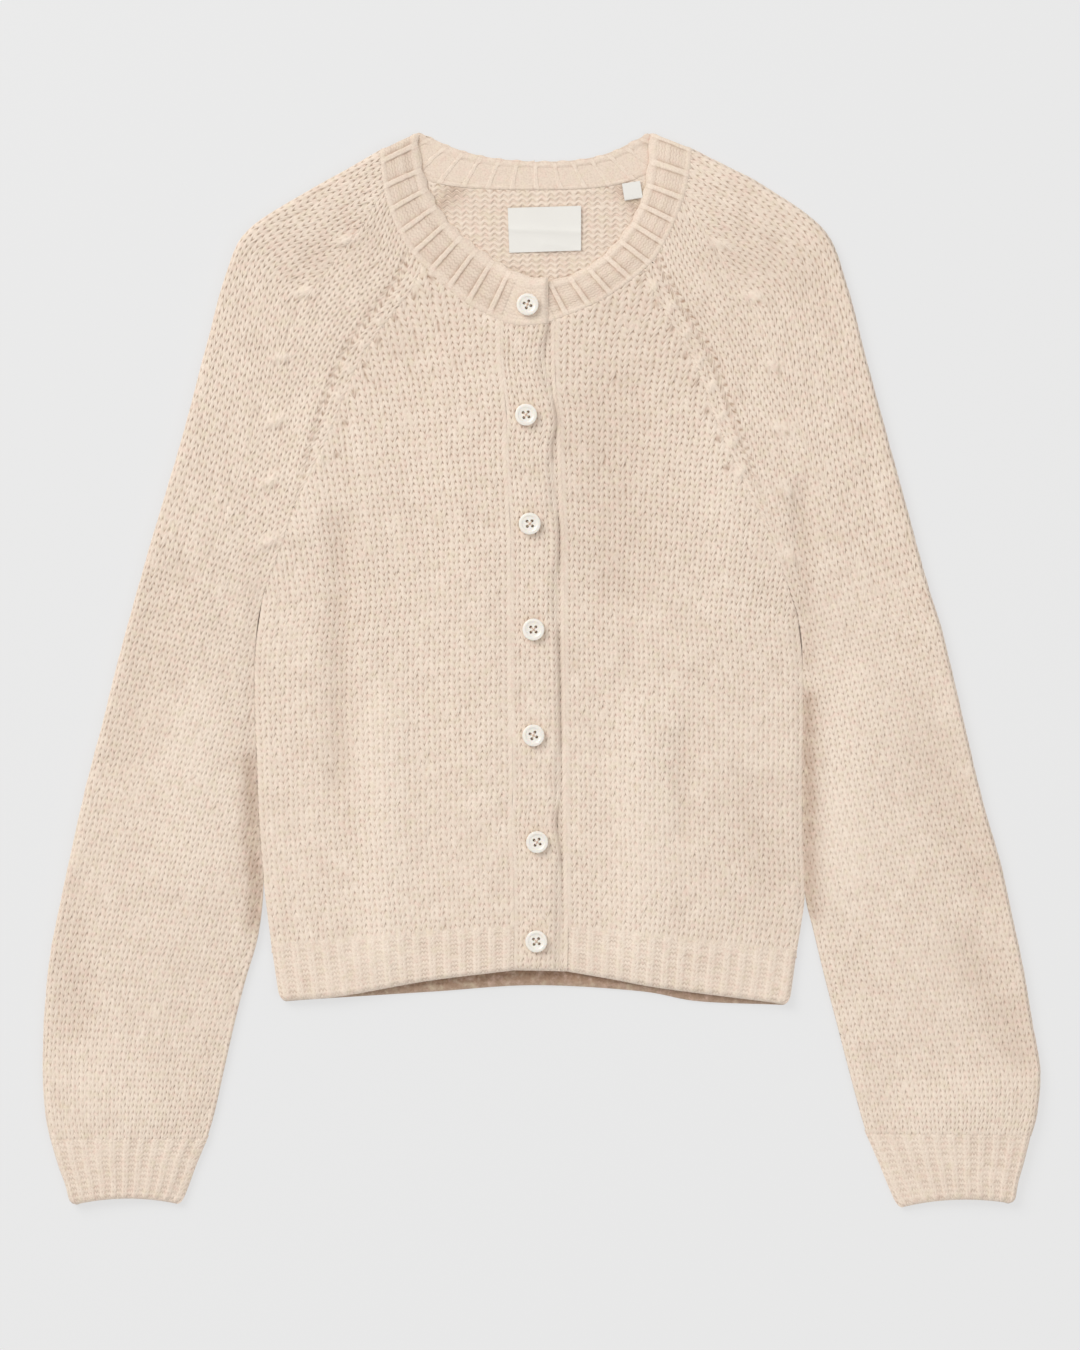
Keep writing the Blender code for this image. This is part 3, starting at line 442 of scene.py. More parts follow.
def shaded(lines, depth, reach):
    """The shade beside the edges of what lies on an area."""

    def marks(points, out, rise, tone):
        near = np.minimum.reduce([gap(points[..., :2], line) for line in lines])
        return rise, tone - depth * np.exp(-((near / reach) ** 2))

    return marks


back = make_cloth(
    "back_knit",
    [
        knit(UNDERSIDE, BACK_WALES, BACK_ROWS, back_underside, steps=COARSE),
        knit(PLAIN, BACK_WALES, BACK_ROWS, back_upper, steps=FLAT, loose=0.0, stray=0.0),
        knit(WRONG_SIDE, 28, 30, back_inside, relief=1.25, loose=0.8, stray=0.05,
             marks=shaded([NECK_CORNERS[:2], NECK_CORNERS[2:]], 0.45, 7.0)),
    ],
    stockinette_wool, "back",
)


# ------------------------------------------------------------- The back's hem
# A band of knit-one purl-one rib in the same wool, knitted down from the back. Only
# its edge shows below the fronts, which are a little shorter.

HEM_ROWS = 11
EDGE_SINK = 2.95  # an edge rolls down by the whole wall, so that its two faces meet
TUCK = 1.3  # how far one area of knitting dives under the next where they join
HEM_EDGE_BACK = (
    (-178.5, -226.0), (-76.0, -219.5), (-5.0, -215.0), (66.5, -219.0), (107.5, -226.0),
    (169.0, -228.5),
)
RIB = (
    (0.0, 0.5, 0.12, 0.6, 0.62), (0.11, 0.0, 0.22, 0.62, 0.5), (0.22, 0.5, 0.12, 0.52, 0.62),
    (0.31, 0.5, 0.66, 0.88, 0.4), (0.4, 1.0, 0.92, 1.0, 0.2), (0.5, 1.5, 0.34, 0.9, 0.6),
    (0.6, 1.0, 0.92, 1.0, 0.2), (0.69, 0.5, 0.66, 0.88, 0.4), (0.78, 0.5, 0.12, 0.52, 0.62),
    (0.89, 0.0, 0.22, 0.62, 0.5),
)
RIB_RELIEF = 1.0
RIB_LOOSE = 0.55
RIB_STRAY = 0.02


def firm_at(near, least=0.35):
    """How firm the relief is, which flattens beside an edge or a seam."""
    return np.clip(near / 1.6 + least, 0, 1)


def hem_place(top, edge, ribs, height, sides, way=1, edge_sink=EDGE_SINK):
    """Places in a hem from its free edge up to the cloth that it hangs from."""

    def place(u, t):
        share = np.clip(u / ribs, 0, 1)
        up = (t / HEM_ROWS)[..., None]
        plan = along(edge, share) * (1 - up) + along(top, share) * up
        free = gap(plan, edge[::3])
        for line, inward in sides:
            plan[..., 0] += inward * rounded(free, 4.5, 8.0) * np.exp(-gap(plan, line) / 9.0)
        near = np.minimum.reduce([free, *(gap(plan, line) for line, _ in sides)])
        sunk = rounded(near, edge_sink, EDGE_REACH) + TUCK * smooth(t - HEM_ROWS, 0, 1.0)
        firm = firm_at(near) * (1 - 0.3 * smooth(t, HEM_ROWS - 2, HEM_ROWS))
        return laid(plan, height(plan), firm, sunk, way)

    return place


rib_wool = wool("cream wool rib", (0.96, 0.824, 0.694), SHADE, 0.6, 0.26)
back_hem_edge = curve(HEM_EDGE_BACK)
back_hem_sides = [(np.array([back_hem[k], back_hem_edge[k]]), inward) for k, inward in ((0, 1.0), (-1, -1.0))]
BACK_RIBS = 35


def under_the_fronts(points, out, rise, tone):
    """The shade that the fronts leave on the upper part of the back's hem."""
    from_edge = points[..., 1] - y_on(back_hem_edge, points[..., 0])
    return rise, np.where(out[..., 2] > 0, tone * (0.2 - 0.2 * smooth(from_edge, 0.0, 8.0)), tone)


hem_back = make_cloth(
    "back_hem_rib",
    [
        knit(RIB, BACK_RIBS, HEM_ROWS + 1,
             hem_place(back_hem, back_hem_edge, BACK_RIBS, lambda plan: WALL, back_hem_sides, edge_sink=1.5),
             relief=RIB_RELIEF, loose=RIB_LOOSE, stray=RIB_STRAY, marks=under_the_fronts),
        knit(RIB, BACK_RIBS, HEM_ROWS + 1,
             hem_place(back_hem, back_hem_edge, BACK_RIBS, lambda plan: CREST, back_hem_sides, -1, 1.1),
             steps=COARSE, relief=0.9, stray=RIB_STRAY),
    ],
    rib_wool, "hem_back",
)


# ---------------------------------------------------------------- The fronts
# Two panels of stockinette, lying on the back with a little air between. Two wales
# run beside each raglan seam, and the other wales are decreased away against them.

LAYER = 3.0  # from the middle of one layer to the middle of the next
BACK_Z = WALL / 2
PUFF = 2.2  # the air between two layers, which shuts beside a closed edge
PUFF_REACH = 38.0
SHUT = 0.1
DEEPEST_FOLD = -2.3  # a trough stops just above the layer below
RISE_FROM, RISE_TO = -95.0, -32.0  # where the right front rises on to the under band
SEAM_SINK = (0.45, 3.4)  # how deep and how wide the cloth dips along a raglan seam
SEAM_OPENS = (70.0, 190.0)  # the stretch over which the raglan seam comes to show
HOLE_PITCH, HOLE_WIDE = 6.4, 1.35  # the holes that the sewing pulls open along it
SEWN_SINK = (0.35, 1.6)  # how deep and how wide the cloth dips where a band is sewn on
FRONT_TOP = 292.0  # the height that the rows of a front have to reach
STRIP_WALES = 2
STRIP_WALE = 6.2
STRIP_OVER = 0.25  # how far the strip runs on over the main area, in wales
# The mesh across one wale of stockinette, in the same way as for the back
STOCKINETTE = (
    (0.0, 0.0, 0.0, 0.67, 0.9), (0.17, 0.5, 0.76, 0.95, 0.5), (0.33, 1.0, 0.84, 1.0, 0.5),
    (0.5, 1.5, 0.04, 0.7, 0.85), (0.67, 1.0, 0.84, 1.0, 0.5), (0.83, 0.5, 0.76, 0.95, 0.5),
)
RIGHT_RAGLAN = (
    (-173.5, 97.0), (-158.0, 150.5), (-146.0, 189.0), (-132.0, 221.0), (-110.0, 251.5),
    (-98.0, 267.0), (-90.5, 287.0),
)
LEFT_RAGLAN = (
    (158.5, 85.0), (141.5, 141.5), (128.5, 179.5), (115.0, 216.0), (96.5, 247.5),
    (86.5, 264.5), (79.0, 283.0),
)
NECK_RIGHT = (
    (5.0, 236.0), (-14.0, 234.5), (-28.0, 238.0), (-53.5, 251.5), (-78.0, 273.5),
    (-90.5, 287.0), (-101.5, 308.0), (-107.5, 330.0), (-110.0, 354.5),
)
NECK_LEFT = (
    (-24.0, 236.0), (-8.0, 234.5), (9.0, 238.5), (40.0, 251.5), (66.0, 269.5),
    (79.0, 283.0), (91.0, 306.0), (99.0, 330.0), (102.5, 355.5),
)
# How the outermost wale would run on above the underarm, if it weren't decreased away
RIGHT_GUIDE = (
    (-198.0, 100.0), (-206.0, 150.0), (-217.0, 195.0), (-236.0, 232.0), (-266.0, 262.0),
    (-306.0, 292.0),
)
LEFT_GUIDE = (
    (182.0, 88.0), (190.0, 140.0), (201.0, 188.0), (219.0, 226.0), (248.0, 258.0),
    (288.0, 292.0),
)
# Down the placket: height, the button band's seam and edge, the under band's edge and seam
PLACKET = (
    (213.0, -28.0, 2.0, -24.0, 9.0), (190.0, -25.5, 7.0, -22.5, 10.0),
    (170.0, -23.5, 10.5, -21.0, 12.5), (150.0, -24.5, 7.5, -20.0, 13.0),
    (121.0, -22.5, 9.5, -19.0, 14.0), (90.0, -21.0, 12.0, -18.0, 15.5),
    (47.0, -21.0, 11.0, -17.5, 15.5), (-16.0, -20.5, 12.5, -17.0, 16.0),
    (-80.0, -19.5, 13.0, -16.5, 17.0), (-104.0, -20.5, 10.5, -16.0, 17.0),
    (-134.0, -19.0, 13.5, -15.5, 17.5),
)
# The stretches where the edge of the button band stands off and throws a shade
PLACKET_SHADES = ((252.0, 226.0), (180.0, 148.0), (101.0, 74.0), (24.0, -50.0), (-96.0, -128.0))
HEM_TOP_RIGHT = ((-184.0, -188.5), (-96.5, -180.5), (-18.5, -175.0))
HEM_TOP_LEFT = ((174.0, -192.0), (73.5, -181.0), (18.0, -175.5))
body_closed = [curve(RIGHT_SIDE)[::4], curve(LEFT_SIDE)[::4]]


def length_of(line):
    return np.linalg.norm(np.diff(line, axis=0), axis=1).sum()


def eased(distance, depth, reach):
    """How far a surface sinks into a soft valley."""
    return depth * (1 - smooth(distance, 0, reach))


def inward_of(line, towards):
    """The unit normals of a line on the side of a place."""
    run = np.gradient(line, axis=0)
    run /= np.linalg.norm(run, axis=1, keepdims=True)
    side = np.stack([-run[:, 1], run[:, 0]], axis=1)
    return side * np.sign(((np.array(towards) - line) * side).sum(axis=1))[:, None]


def lift(plan, closed):
    """Air under the front layer, which shuts along the closed side seams."""
    away = np.minimum.reduce([gap(plan, line) for line in closed])
    air = PUFF + np.maximum(folds_at(plan), DEEPEST_FOLD)
    return SHUT + (1 - np.exp(-((away / PUFF_REACH) ** 2))) * air


def left_face(plan):
    """Height of the upper face of the left front, which lies on the back."""
    return BACK_Z + LAYER + lift(plan, body_closed) + WALL / 2


def right_face(plan):
    """Height of the upper face of the right front, which rises on to the under band."""
    return left_face(plan) + LAYER * smooth(plan[..., 0], RISE_FROM, RISE_TO)


def placket_shade(depth, reach):
    """The uneven shade beside the edge of the button band, and above each button."""
    edge = np.array([(4.5, 250.0), (5.0, 236.0), *((p[2], p[0]) for p in PLACKET)])
    lines = [np.array([(x_on(edge, y), y) for y in np.linspace(*ends, 5)]) for ends in PLACKET_SHADES]
    for number in range(2, 8):
        low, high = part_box(f"button_{number}")
        x, y = (low.x + high.x) / 2 / MM, high.y / MM
        lines.append(np.array([(x - 1.0, y + 2.6), (x + 4.0, y + 2.0)]))
    return shaded(lines, depth, reach)


# Knots where wales are decreased away: x, y, then the turn of each in degrees
RIGHT_KNOTS = (
    (-85.5, 264.0, 118), (-97.0, 252.0, 118), (-110.8, 237.5, 117), (-121.8, 221.5, 118),
    (-131.0, 205.0, 119), (-138.0, 186.0, 120), (-144.5, 165.5, 121), (-150.0, 144.0, 122),
)
LEFT_KNOTS = (
    (77.0, 261.5, 61), (88.5, 247.0, 60), (99.0, 230.0, 57), (108.5, 211.0, 57),
    (116.0, 193.5, 58), (123.0, 174.0, 59), (130.5, 155.0, 60), (136.5, 135.0, 60),
)


def marked(knots, holes, rise_by=1.5, size=(5.0, 2.2), beside=None):
    """Soft knots standing on the knitting and painted in full light, the holes beside them and along a seam,
    sunk and painted in shade, and painted shade beside.
    """

    def marks(points, out, rise, tone):
        upper = out[..., 2] > 0.5
        for x, y, turn in knots:
            dx, dy = points[..., 0] - x, points[..., 1] - y
            c, s = np.cos(np.radians(turn)), np.sin(np.radians(turn))
            far, off = (dx * c + dy * s) / size[0], (dy * c - dx * s) / size[1]
            blob = np.exp(-(far**2) - off**2) * upper
            rise = rise * (1 - 0.6 * blob) + rise_by * blob
            tone = tone + (1 - tone) * blob
        for x, y, wide, deep in holes:
            far = ((points[..., 0] - x) ** 2 + (points[..., 1] - y) ** 2) / wide**2
            rise = rise - 0.55 * deep * np.exp(-far) * upper
            tone = np.minimum(tone, 1 - 1.15 * deep * np.exp(-(far**1.5)) * upper)
        return beside(points, out, rise, tone) if beside else (rise, tone)

    return marks


def seam_holes(seam, beside):
    """The row of holes that the sewing pulls open on one side of a raglan seam."""
    line = seam + beside * 1.6
    count = int(length_of(line) / HOLE_PITCH)
    shares = (np.arange(count) + 0.5 + wander.normal(0, 0.1, count)) / count
    deep = wander.uniform(0.7, 1.0, count)
    return [(x, y, HOLE_WIDE, d * smooth(y, *SEAM_OPENS)) for (x, y), d in zip(along(line, shares), deep)]


def lining(place, wales, rows, start=0.0, from_row=0):
    """The inner face of an area, a wall below it, which meets it where an edge rolls over."""

    def inner(u, t):
        points, out, firm, sunk = place(u, t)
        below = np.maximum(WALL - CREST * np.clip(-out[..., 2], 0, 1), sunk - CREST)
        return points - out * below[..., None], -out, firm * 0, sunk * 0

    return knit(PLAIN, wales, rows, inner, start, from_row, steps=FLAT, crest=0.0, loose=0.0, stray=0.0)


def seam_sink(seamed, plan):
    """How far the cloth is drawn down beside a raglan seam."""
    return eased(seamed, *SEAM_SINK) * smooth(plan[..., 1], *SEAM_OPENS)


def front_areas(side, raglan, neck, placket, hem, guide, face, wales, knots, beside=None):
    """The main area of a front and the strip of wales that runs up beside the raglan.

    Beside lays shade along what lies next to the front.
    """
    sign = np.sign(side[0][0])
    side_line, outer = curve(side), curve([*side, *raglan])
    start = len(side_line) - 1
    lower, seam = outer[:start + 1], outer[start:]
    inward = inward_of(seam, (0.0, 60.0))
    run = np.concatenate([[0], np.cumsum(np.linalg.norm(np.diff(seam, axis=0), axis=1))])
    strip_width = STRIP_WALES * STRIP_WALE * smooth(run, 45, 150)
    border = seam + inward * strip_width[:, None]
    tucked_border = seam + inward * np.maximum(strip_width - TUCK, 0)[:, None]
    cut = np.vstack([lower[:-1], tucked_border])
    guide = np.vstack([side_line, guide])
    inner = np.array(placket, float)
    closed_side, raglan_seam = side_line[::3], seam[::3]

    def hold(plan):
        """How far the cloth has sunk at its seams, and how far the nearest of them is."""
        shut, seamed = gap(plan, closed_side), gap(plan, raglan_seam)
        neck_gap, band_gap = gap(plan, neck[::3]), gap(plan, inner)
        rolled = rounded(shut, 2.6 - 0.8 * smooth(plan[..., 1], -190, -160), 3.4)
        sunk = np.maximum.reduce([
            rolled, eased(shut, 1.3, 8.0), seam_sink(seamed, plan), rounded(neck_gap, *SEWN_SINK),
        ])
        return sunk, np.minimum.reduce([shut, seamed, neck_gap, band_gap - 0.5])

    def main(u, t):
        """The main area, which dives under the strip and under the hem."""
        share = u / wales
        y = along(hem, share)[..., 1] + ROW * t
        x = x_on(guide, y) * (1 - share) + x_on(inner, y) * share
        limit = x_on(cut, y)
        x = np.minimum(x, limit) if sign > 0 else np.maximum(x, limit)
        plan = np.stack([x, np.minimum(y, y_on(neck, x))], axis=-1)
        sunk, near = hold(plan)
        tucked = gap(plan, border[::3]) * np.where(np.abs(x) > np.abs(x_on(border, y)), -1, 1)
        sunk = np.maximum(sunk, TUCK * smooth(-tucked, 0, TUCK) * (y > border[0, 1]))
        sunk = sunk + TUCK * smooth(-t, 0, 1.0)
        return laid(plan, face(plan), firm_at(near), sunk)

    strip_rows = run[-1] / ROW

    def strip(u, t):
        """The strip, measured from its border, so that the seam cuts its wales off."""
        at = np.clip(t / strip_rows, 0, 1) * run[-1]
        width = np.interp(at, run, strip_width)
        way = np.stack([np.interp(at, run, inward[:, k]) for k in (0, 1)], axis=-1)
        u = np.maximum(u, -STRIP_OVER)
        over = np.maximum(-u, 0) * STRIP_WALE * np.clip(width / 3, 0, 1)
        plan = along(seam, at / run[-1]) + way * (np.maximum(width - u * STRIP_WALE, 0) + over)[..., None]
        plan[..., 1] = np.minimum(plan[..., 1], y_on(neck, plan[..., 0]))
        sunk, near = hold(plan)
        sunk = sunk + TUCK * smooth(-u, 0, STRIP_OVER)
        return laid(plan, face(plan), firm_at(near), sunk)

    rows = (FRONT_TOP - hem[:, 1].min()) / ROW
    holes = seam_holes(seam, inward) + [(x - sign * 10.5, y + 2.5, 2.4, 0.6) for x, y, _ in knots]
    marks = marked(knots, holes, beside=beside)
    return [
        knit(STOCKINETTE, wales, rows + 1, main, from_row=-1, marks=marks),
        knit(STOCKINETTE, STRIP_WALES + 1, strip_rows, strip, start=-1, marks=marks),
        lining(main, wales, rows), lining(strip, STRIP_WALES, strip_rows),
    ]


front_right = make_cloth(
    "right_front_knit",
    front_areas(
        RIGHT_SIDE, RIGHT_RAGLAN, curve(NECK_RIGHT, 5, 2),
        [(-18.5, -175.0), *[(p[1], p[0]) for p in PLACKET[::-1]], (-28.0, 238.0), (-28.0, 400.0)],
        curve(HEM_TOP_RIGHT),
        RIGHT_GUIDE, right_face, 25, RIGHT_KNOTS,
    ),
    stockinette_wool, "front_right",
)
front_left = make_cloth(
    "left_front_knit",
    front_areas(
        LEFT_SIDE, LEFT_RAGLAN, curve(NECK_LEFT, 5, 2),
        [(18.0, -175.5), *[(p[4], p[0]) for p in PLACKET[::-1]], (9.0, 238.5), (9.0, 400.0)],
        curve(HEM_TOP_LEFT),
        LEFT_GUIDE, left_face, 24, LEFT_KNOTS, placket_shade(0.22, 3.4),
    ),
    stockinette_wool, "front_left",
)


# ------------------------------------------------------- The hems of the fronts
# The same rib, knitted down from each front to a loosely cast-off edge that arches up
# a little in the middle.

HEM_PITCH = 10.3  # width of one rib with its furrow
HEM_EDGE_RIGHT = ((-178.5, -225.5), (-137.5, -222.5), (-78.0, -212.0), (-19.0, -204.5))
HEM_EDGE_LEFT = ((169.0, -228.0), (85.5, -217.5), (49.0, -211.0), (17.5, -205.5))


def make_front_hem(name, top, edge, inward, face, node):
    top, edge = curve(top), curve(edge)
    ribs = round(length_of(top) / HEM_PITCH)
    place = hem_place(top, edge, ribs, face, [(np.array([top[0], edge[0]]), inward)])
    made = make_cloth(
        name,
        [
            knit(RIB, ribs, HEM_ROWS + 1, place, relief=RIB_RELIEF, loose=RIB_LOOSE, stray=RIB_STRAY),
            lining(place, ribs, HEM_ROWS),
        ],
        rib_wool, node,
    )


make_front_hem("right_hem_rib", HEM_TOP_RIGHT, HEM_EDGE_RIGHT, 1.0, right_face, "hem_front_right")
make_front_hem("left_hem_rib", HEM_TOP_LEFT, HEM_EDGE_LEFT, -1.0, left_face, "hem_front_left")


# ---------------------------------------------------------- The two front bands
# Narrow bands of stockinette, knitted along the front edges and sewn on from neck to
# hem. The right one lies on the left one and is buttoned on to it.

BAND_WALES = 5
BAND_ROWS = 97
FREE_SINK = (2.95, 5.2)  # how deep and how wide the free edge of a band rolls over
FREE_SLOPE = (2.95, 7.5)  # and how it slopes down where it lies close


def free_sink(distance, y):
    """How far the free edge of a band sinks: rolled where it stands off, sloped elsewhere."""
    off = sum(smooth(y, low - 10, low) * (1 - smooth(y, high, high + 10)) for high, low in PLACKET_SHADES)
    off = 0.3 + 0.7 * off  # it never lies quite close
    return rounded(distance, *FREE_SINK) * off + eased(distance, *FREE_SLOPE) * (1 - off)


def band_place(first, last, neck, edge, face, free_first):
    """Places in a band from its lower edge up to the neck seam, with one of its sides free."""

    def place(u, t):
        v = 1 - t / BAND_ROWS
        share = (u / BAND_WALES)[..., None]
        a, b = along(first, v), along(last, v)
        v = v[..., None]
        top, bottom = along(neck, share[..., 0]), along(edge, share[..., 0])
        corners = (1 - v) * ((1 - share) * neck[0] + share * neck[-1])
        corners = corners + v * ((1 - share) * edge[0] + share * edge[-1])
        plan = (1 - share) * a + share * b + (1 - v) * top + v * bottom - corners
        near_first, near_last = gap(plan, first[::2]), gap(plan, last[::2])
        neck_gap, edge_gap = gap(plan, neck), gap(plan, edge)
        free, sewn = (near_first, near_last) if free_first else (near_last, near_first)
        sunk = np.maximum.reduce([
            free_sink(free, plan[..., 1]), rounded(edge_gap, EDGE_SINK, EDGE_REACH),
            rounded(neck_gap, *SEWN_SINK),
        ])
        near = np.minimum.reduce([free, sewn - 0.7, neck_gap, edge_gap])
        return laid(plan, face(plan), firm_at(near, 0.5), sunk)

    return place


def top_band_face(plan):
    return left_face(plan) + LAYER


def down_the_placket(column, top, *bottom):
    return curve([top, *((p[column], p[0]) for p in PLACKET), *bottom])


def make_band(name, node, lies_on, *shape):
    place = band_place(*shape)
    made = make_cloth(
        name,
        [
            knit(STOCKINETTE, BAND_WALES, BAND_ROWS, place, marks=placket_shade(0.14, 2.6)),
            lining(place, BAND_WALES, BAND_ROWS),
        ],
        stockinette_wool, node,
    )


make_band(
    "button_band_knit", "button_band", "under_band_knit",
    down_the_placket(1, NECK_RIGHT[2], (-18.5, -175.0), (-19.0, -204.5)),
    down_the_placket(2, NECK_RIGHT[0], (12.5, -205.0)),
    curve(NECK_RIGHT, 2, 0), np.array([(-19.0, -204.5), (12.5, -205.0)]),
    top_band_face, False,
)
make_band(
    "under_band_knit", "under_band", "back_knit",
    down_the_placket(3, NECK_LEFT[0], (-15.0, -204.5)),
    down_the_placket(4, NECK_LEFT[2], (18.0, -175.5), (17.5, -205.5)),
    curve(NECK_LEFT, 0, 2), np.array([(-15.0, -204.5), (17.5, -205.5)]),
    left_face, True,
)


# --------------------------------------------------------------- The sleeves
# Each sleeve is one piece of stockinette, folded flat along its outer edge. Seven wales
# run beside its seam, and the wales that follow the fold are decreased against them.

SEAM_WALES = 7
SEAM_WALE = 6.1  # width of one wale
FOLD_WALES = 24  # on each layer
CUFF_ARCH = 4.0  # how far the edge of the cuff arches up
CUFF_ROW = 3.6  # height of one row at the edge of the cuff
UNDERARM_ROW = 85  # rows from the cuff up to the underarm
WIDEST_ROW = 30.0  # below it the wales draw in towards the cuff
SLEEVE_ROWS = 144
SLEEVE_OUT = 76.0  # from the underarm straight across to the fold
RAGLAN_FROM = 47.0  # the height at which the sleeve's seam becomes the raglan
RIGHT_SLEEVE_SEAM = (
    (-193.0, -180.0), (-202.0, -212.0), (-209.0, -239.5), (-216.0, -270.5), (-223.0, -302.0),
    (-229.0, -322.5),
)
LEFT_SLEEVE_SEAM = (
    (185.5, -178.0), (193.5, -211.0), (201.5, -241.5), (209.0, -270.5), (217.0, -300.5),
    (222.5, -319.0),
)
RIGHT_CUFF_SEAM = ((-229.0, -322.5), (-235.5, -338.0), (-241.0, -353.0), (-245.5, -364.0))
LEFT_CUFF_SEAM = ((222.5, -319.0), (230.0, -336.0), (236.5, -352.0), (243.0, -366.5))
RIGHT_FOLD = (
    (-110.0, 354.5), (-134.0, 340.5), (-159.0, 326.5), (-200.0, 300.0), (-215.0, 270.0),
    (-227.0, 226.5), (-245.0, 158.5), (-266.0, 87.5), (-277.5, 47.0), (-288.5, 7.0),
    (-299.0, -35.5), (-309.5, -75.5), (-319.0, -117.0), (-328.0, -158.5), (-335.0, -195.0),
    (-338.5, -231.0), (-340.0, -268.5), (-338.0, -302.5), (-334.0, -323.0),
)
LEFT_FOLD = (
    (102.5, 355.5), (126.0, 343.5), (151.5, 330.0), (192.0, 300.5), (208.0, 263.0),
    (222.5, 207.5), (241.5, 138.0), (262.5, 61.0), (272.0, 30.5), (281.5, -8.0),
    (291.0, -49.0), (301.0, -90.0), (313.0, -132.0), (321.0, -168.5), (328.5, -204.0),
    (334.5, -239.5), (340.0, -272.0), (338.0, -301.0), (333.0, -320.0),
)


def turned(w, radius):
    """How far round a fold a place has turned, and how far in from it that is in the plan."""
    arc = radius * np.pi / 2
    turn = np.minimum(np.abs(w), arc) / radius
    return turn, radius * (1 - np.cos(turn)) + np.maximum(np.abs(w) - arc, 0)


def round_height(w, radius, face, middle, rise):
    """Height on the front layer, round the fold and on the back layer."""
    front = np.where(np.abs(w) >= radius * np.pi / 2, face, middle + rise)
    return np.where(w >= 0, front, middle - rise + CREST)


def round_out(away, turn, front):
    """The way out of a fold, which points away from it on its edge and up or down beyond."""
    up = np.where(front, np.sin(turn), -np.sin(turn))
    return np.concatenate([away * np.cos(turn)[..., None], up[..., None]], axis=-1)


def folded(seam, fold, back_seam, closed, rows, knee=(0.5, (0.5, 0.5)), neck=None):
    """A flattened tube: a function from surface distances to places on it.

    It takes the distance from the fold, over zero on the front layer and under zero on
    the back layer, and the row up from the lower end. Its reach is the distance from the
    fold to the seam. Knee is the share of the rows and of the two edges at which their
    spacing changes. Closed is the line along which the two layers shut. A sleeve runs up
    to its neck line, and a tube without one is a cuff, with a free lower edge.
    """
    raglan = seam[seam[:, 1] > RAGLAN_FROM][::3]

    def measure(t):
        """The ends of a row at the seam, the fold and the back seam, and the tube's radius."""
        ends = [
            along(line, 1 - np.interp(t / rows, (0, knee[0], 1), (0, share, 1)))
            for line, share in ((seam, knee[1][0]), (fold, knee[1][1]), (back_seam, knee[1][0]))
        ]
        return *ends, (LAYER + lift(ends[1], [closed]) + WALL) / 2

    def reach(t):
        s, o, _, radius = measure(t)
        return radius * (np.pi / 2 - 1) + np.linalg.norm(o - s, axis=-1)

    def place(w, t):
        s, o, b, radius = measure(t)
        width, back_width = np.linalg.norm(o - s, axis=-1), np.linalg.norm(o - b, axis=-1)
        arc = radius * np.pi / 2
        w = np.clip(w, -(arc + back_width - radius), arc + width - radius)
        turn, offset = turned(w, radius)
        front = w >= 0
        e = np.where(front[..., None], (o - s) / width[..., None], (o - b) / back_width[..., None])
        plan = o - e * offset[..., None]
        share = np.clip(1 - offset / width, 0, 1)
        if neck is None:
            plan[..., 1] += CUFF_ARCH * 4 * share * (1 - share) * (1 - t / rows)
            plan = plan + e * ((share - 0.5) * -2 * rounded(t * ROW, 2.6, 7.0))[..., None]
        else:
            bulge = along(neck, share) - (neck[0] + share[..., None] * (neck[-1] - neck[0]))
            plan = plan + bulge * ((1 - smooth(rows - t, 0, 14)) * front)[..., None]
        face = BACK_Z + LAYER + lift(plan, [closed]) + WALL / 2
        z = round_height(w, radius, face, BACK_Z + radius - WALL / 2, radius * np.sin(turn))
        shut = gap(plan, closed)
        rolled = rounded(shut, 2.9 - 0.9 * smooth(plan[..., 1], -195, -165), 4.2)
        sunk = np.where(front, np.maximum(rolled, eased(shut, 1.4, 13.0)), rounded(shut, 2.5, 3.6))
        if neck is None:
            sunk = np.maximum(sunk, rounded(t * CUFF_ROW, 2.3, EDGE_REACH))
            near, joined = np.minimum(shut, t * CUFF_ROW), rows - t
        else:
            seamed, neck_gap = (np.where(front, gap(plan, line), 99.0) for line in (raglan, neck[::3]))
            sunk = np.maximum.reduce([sunk, seam_sink(seamed, plan), rounded(neck_gap, *SEWN_SINK)])
            near, joined = np.minimum.reduce([shut, seamed, neck_gap]), t
        sunk = sunk + TUCK * (1 - smooth(joined, 0, 0.7))
        return at_height(plan, z), round_out(e, turn, front), firm_at(near), sunk

    place.reach = reach
    return place


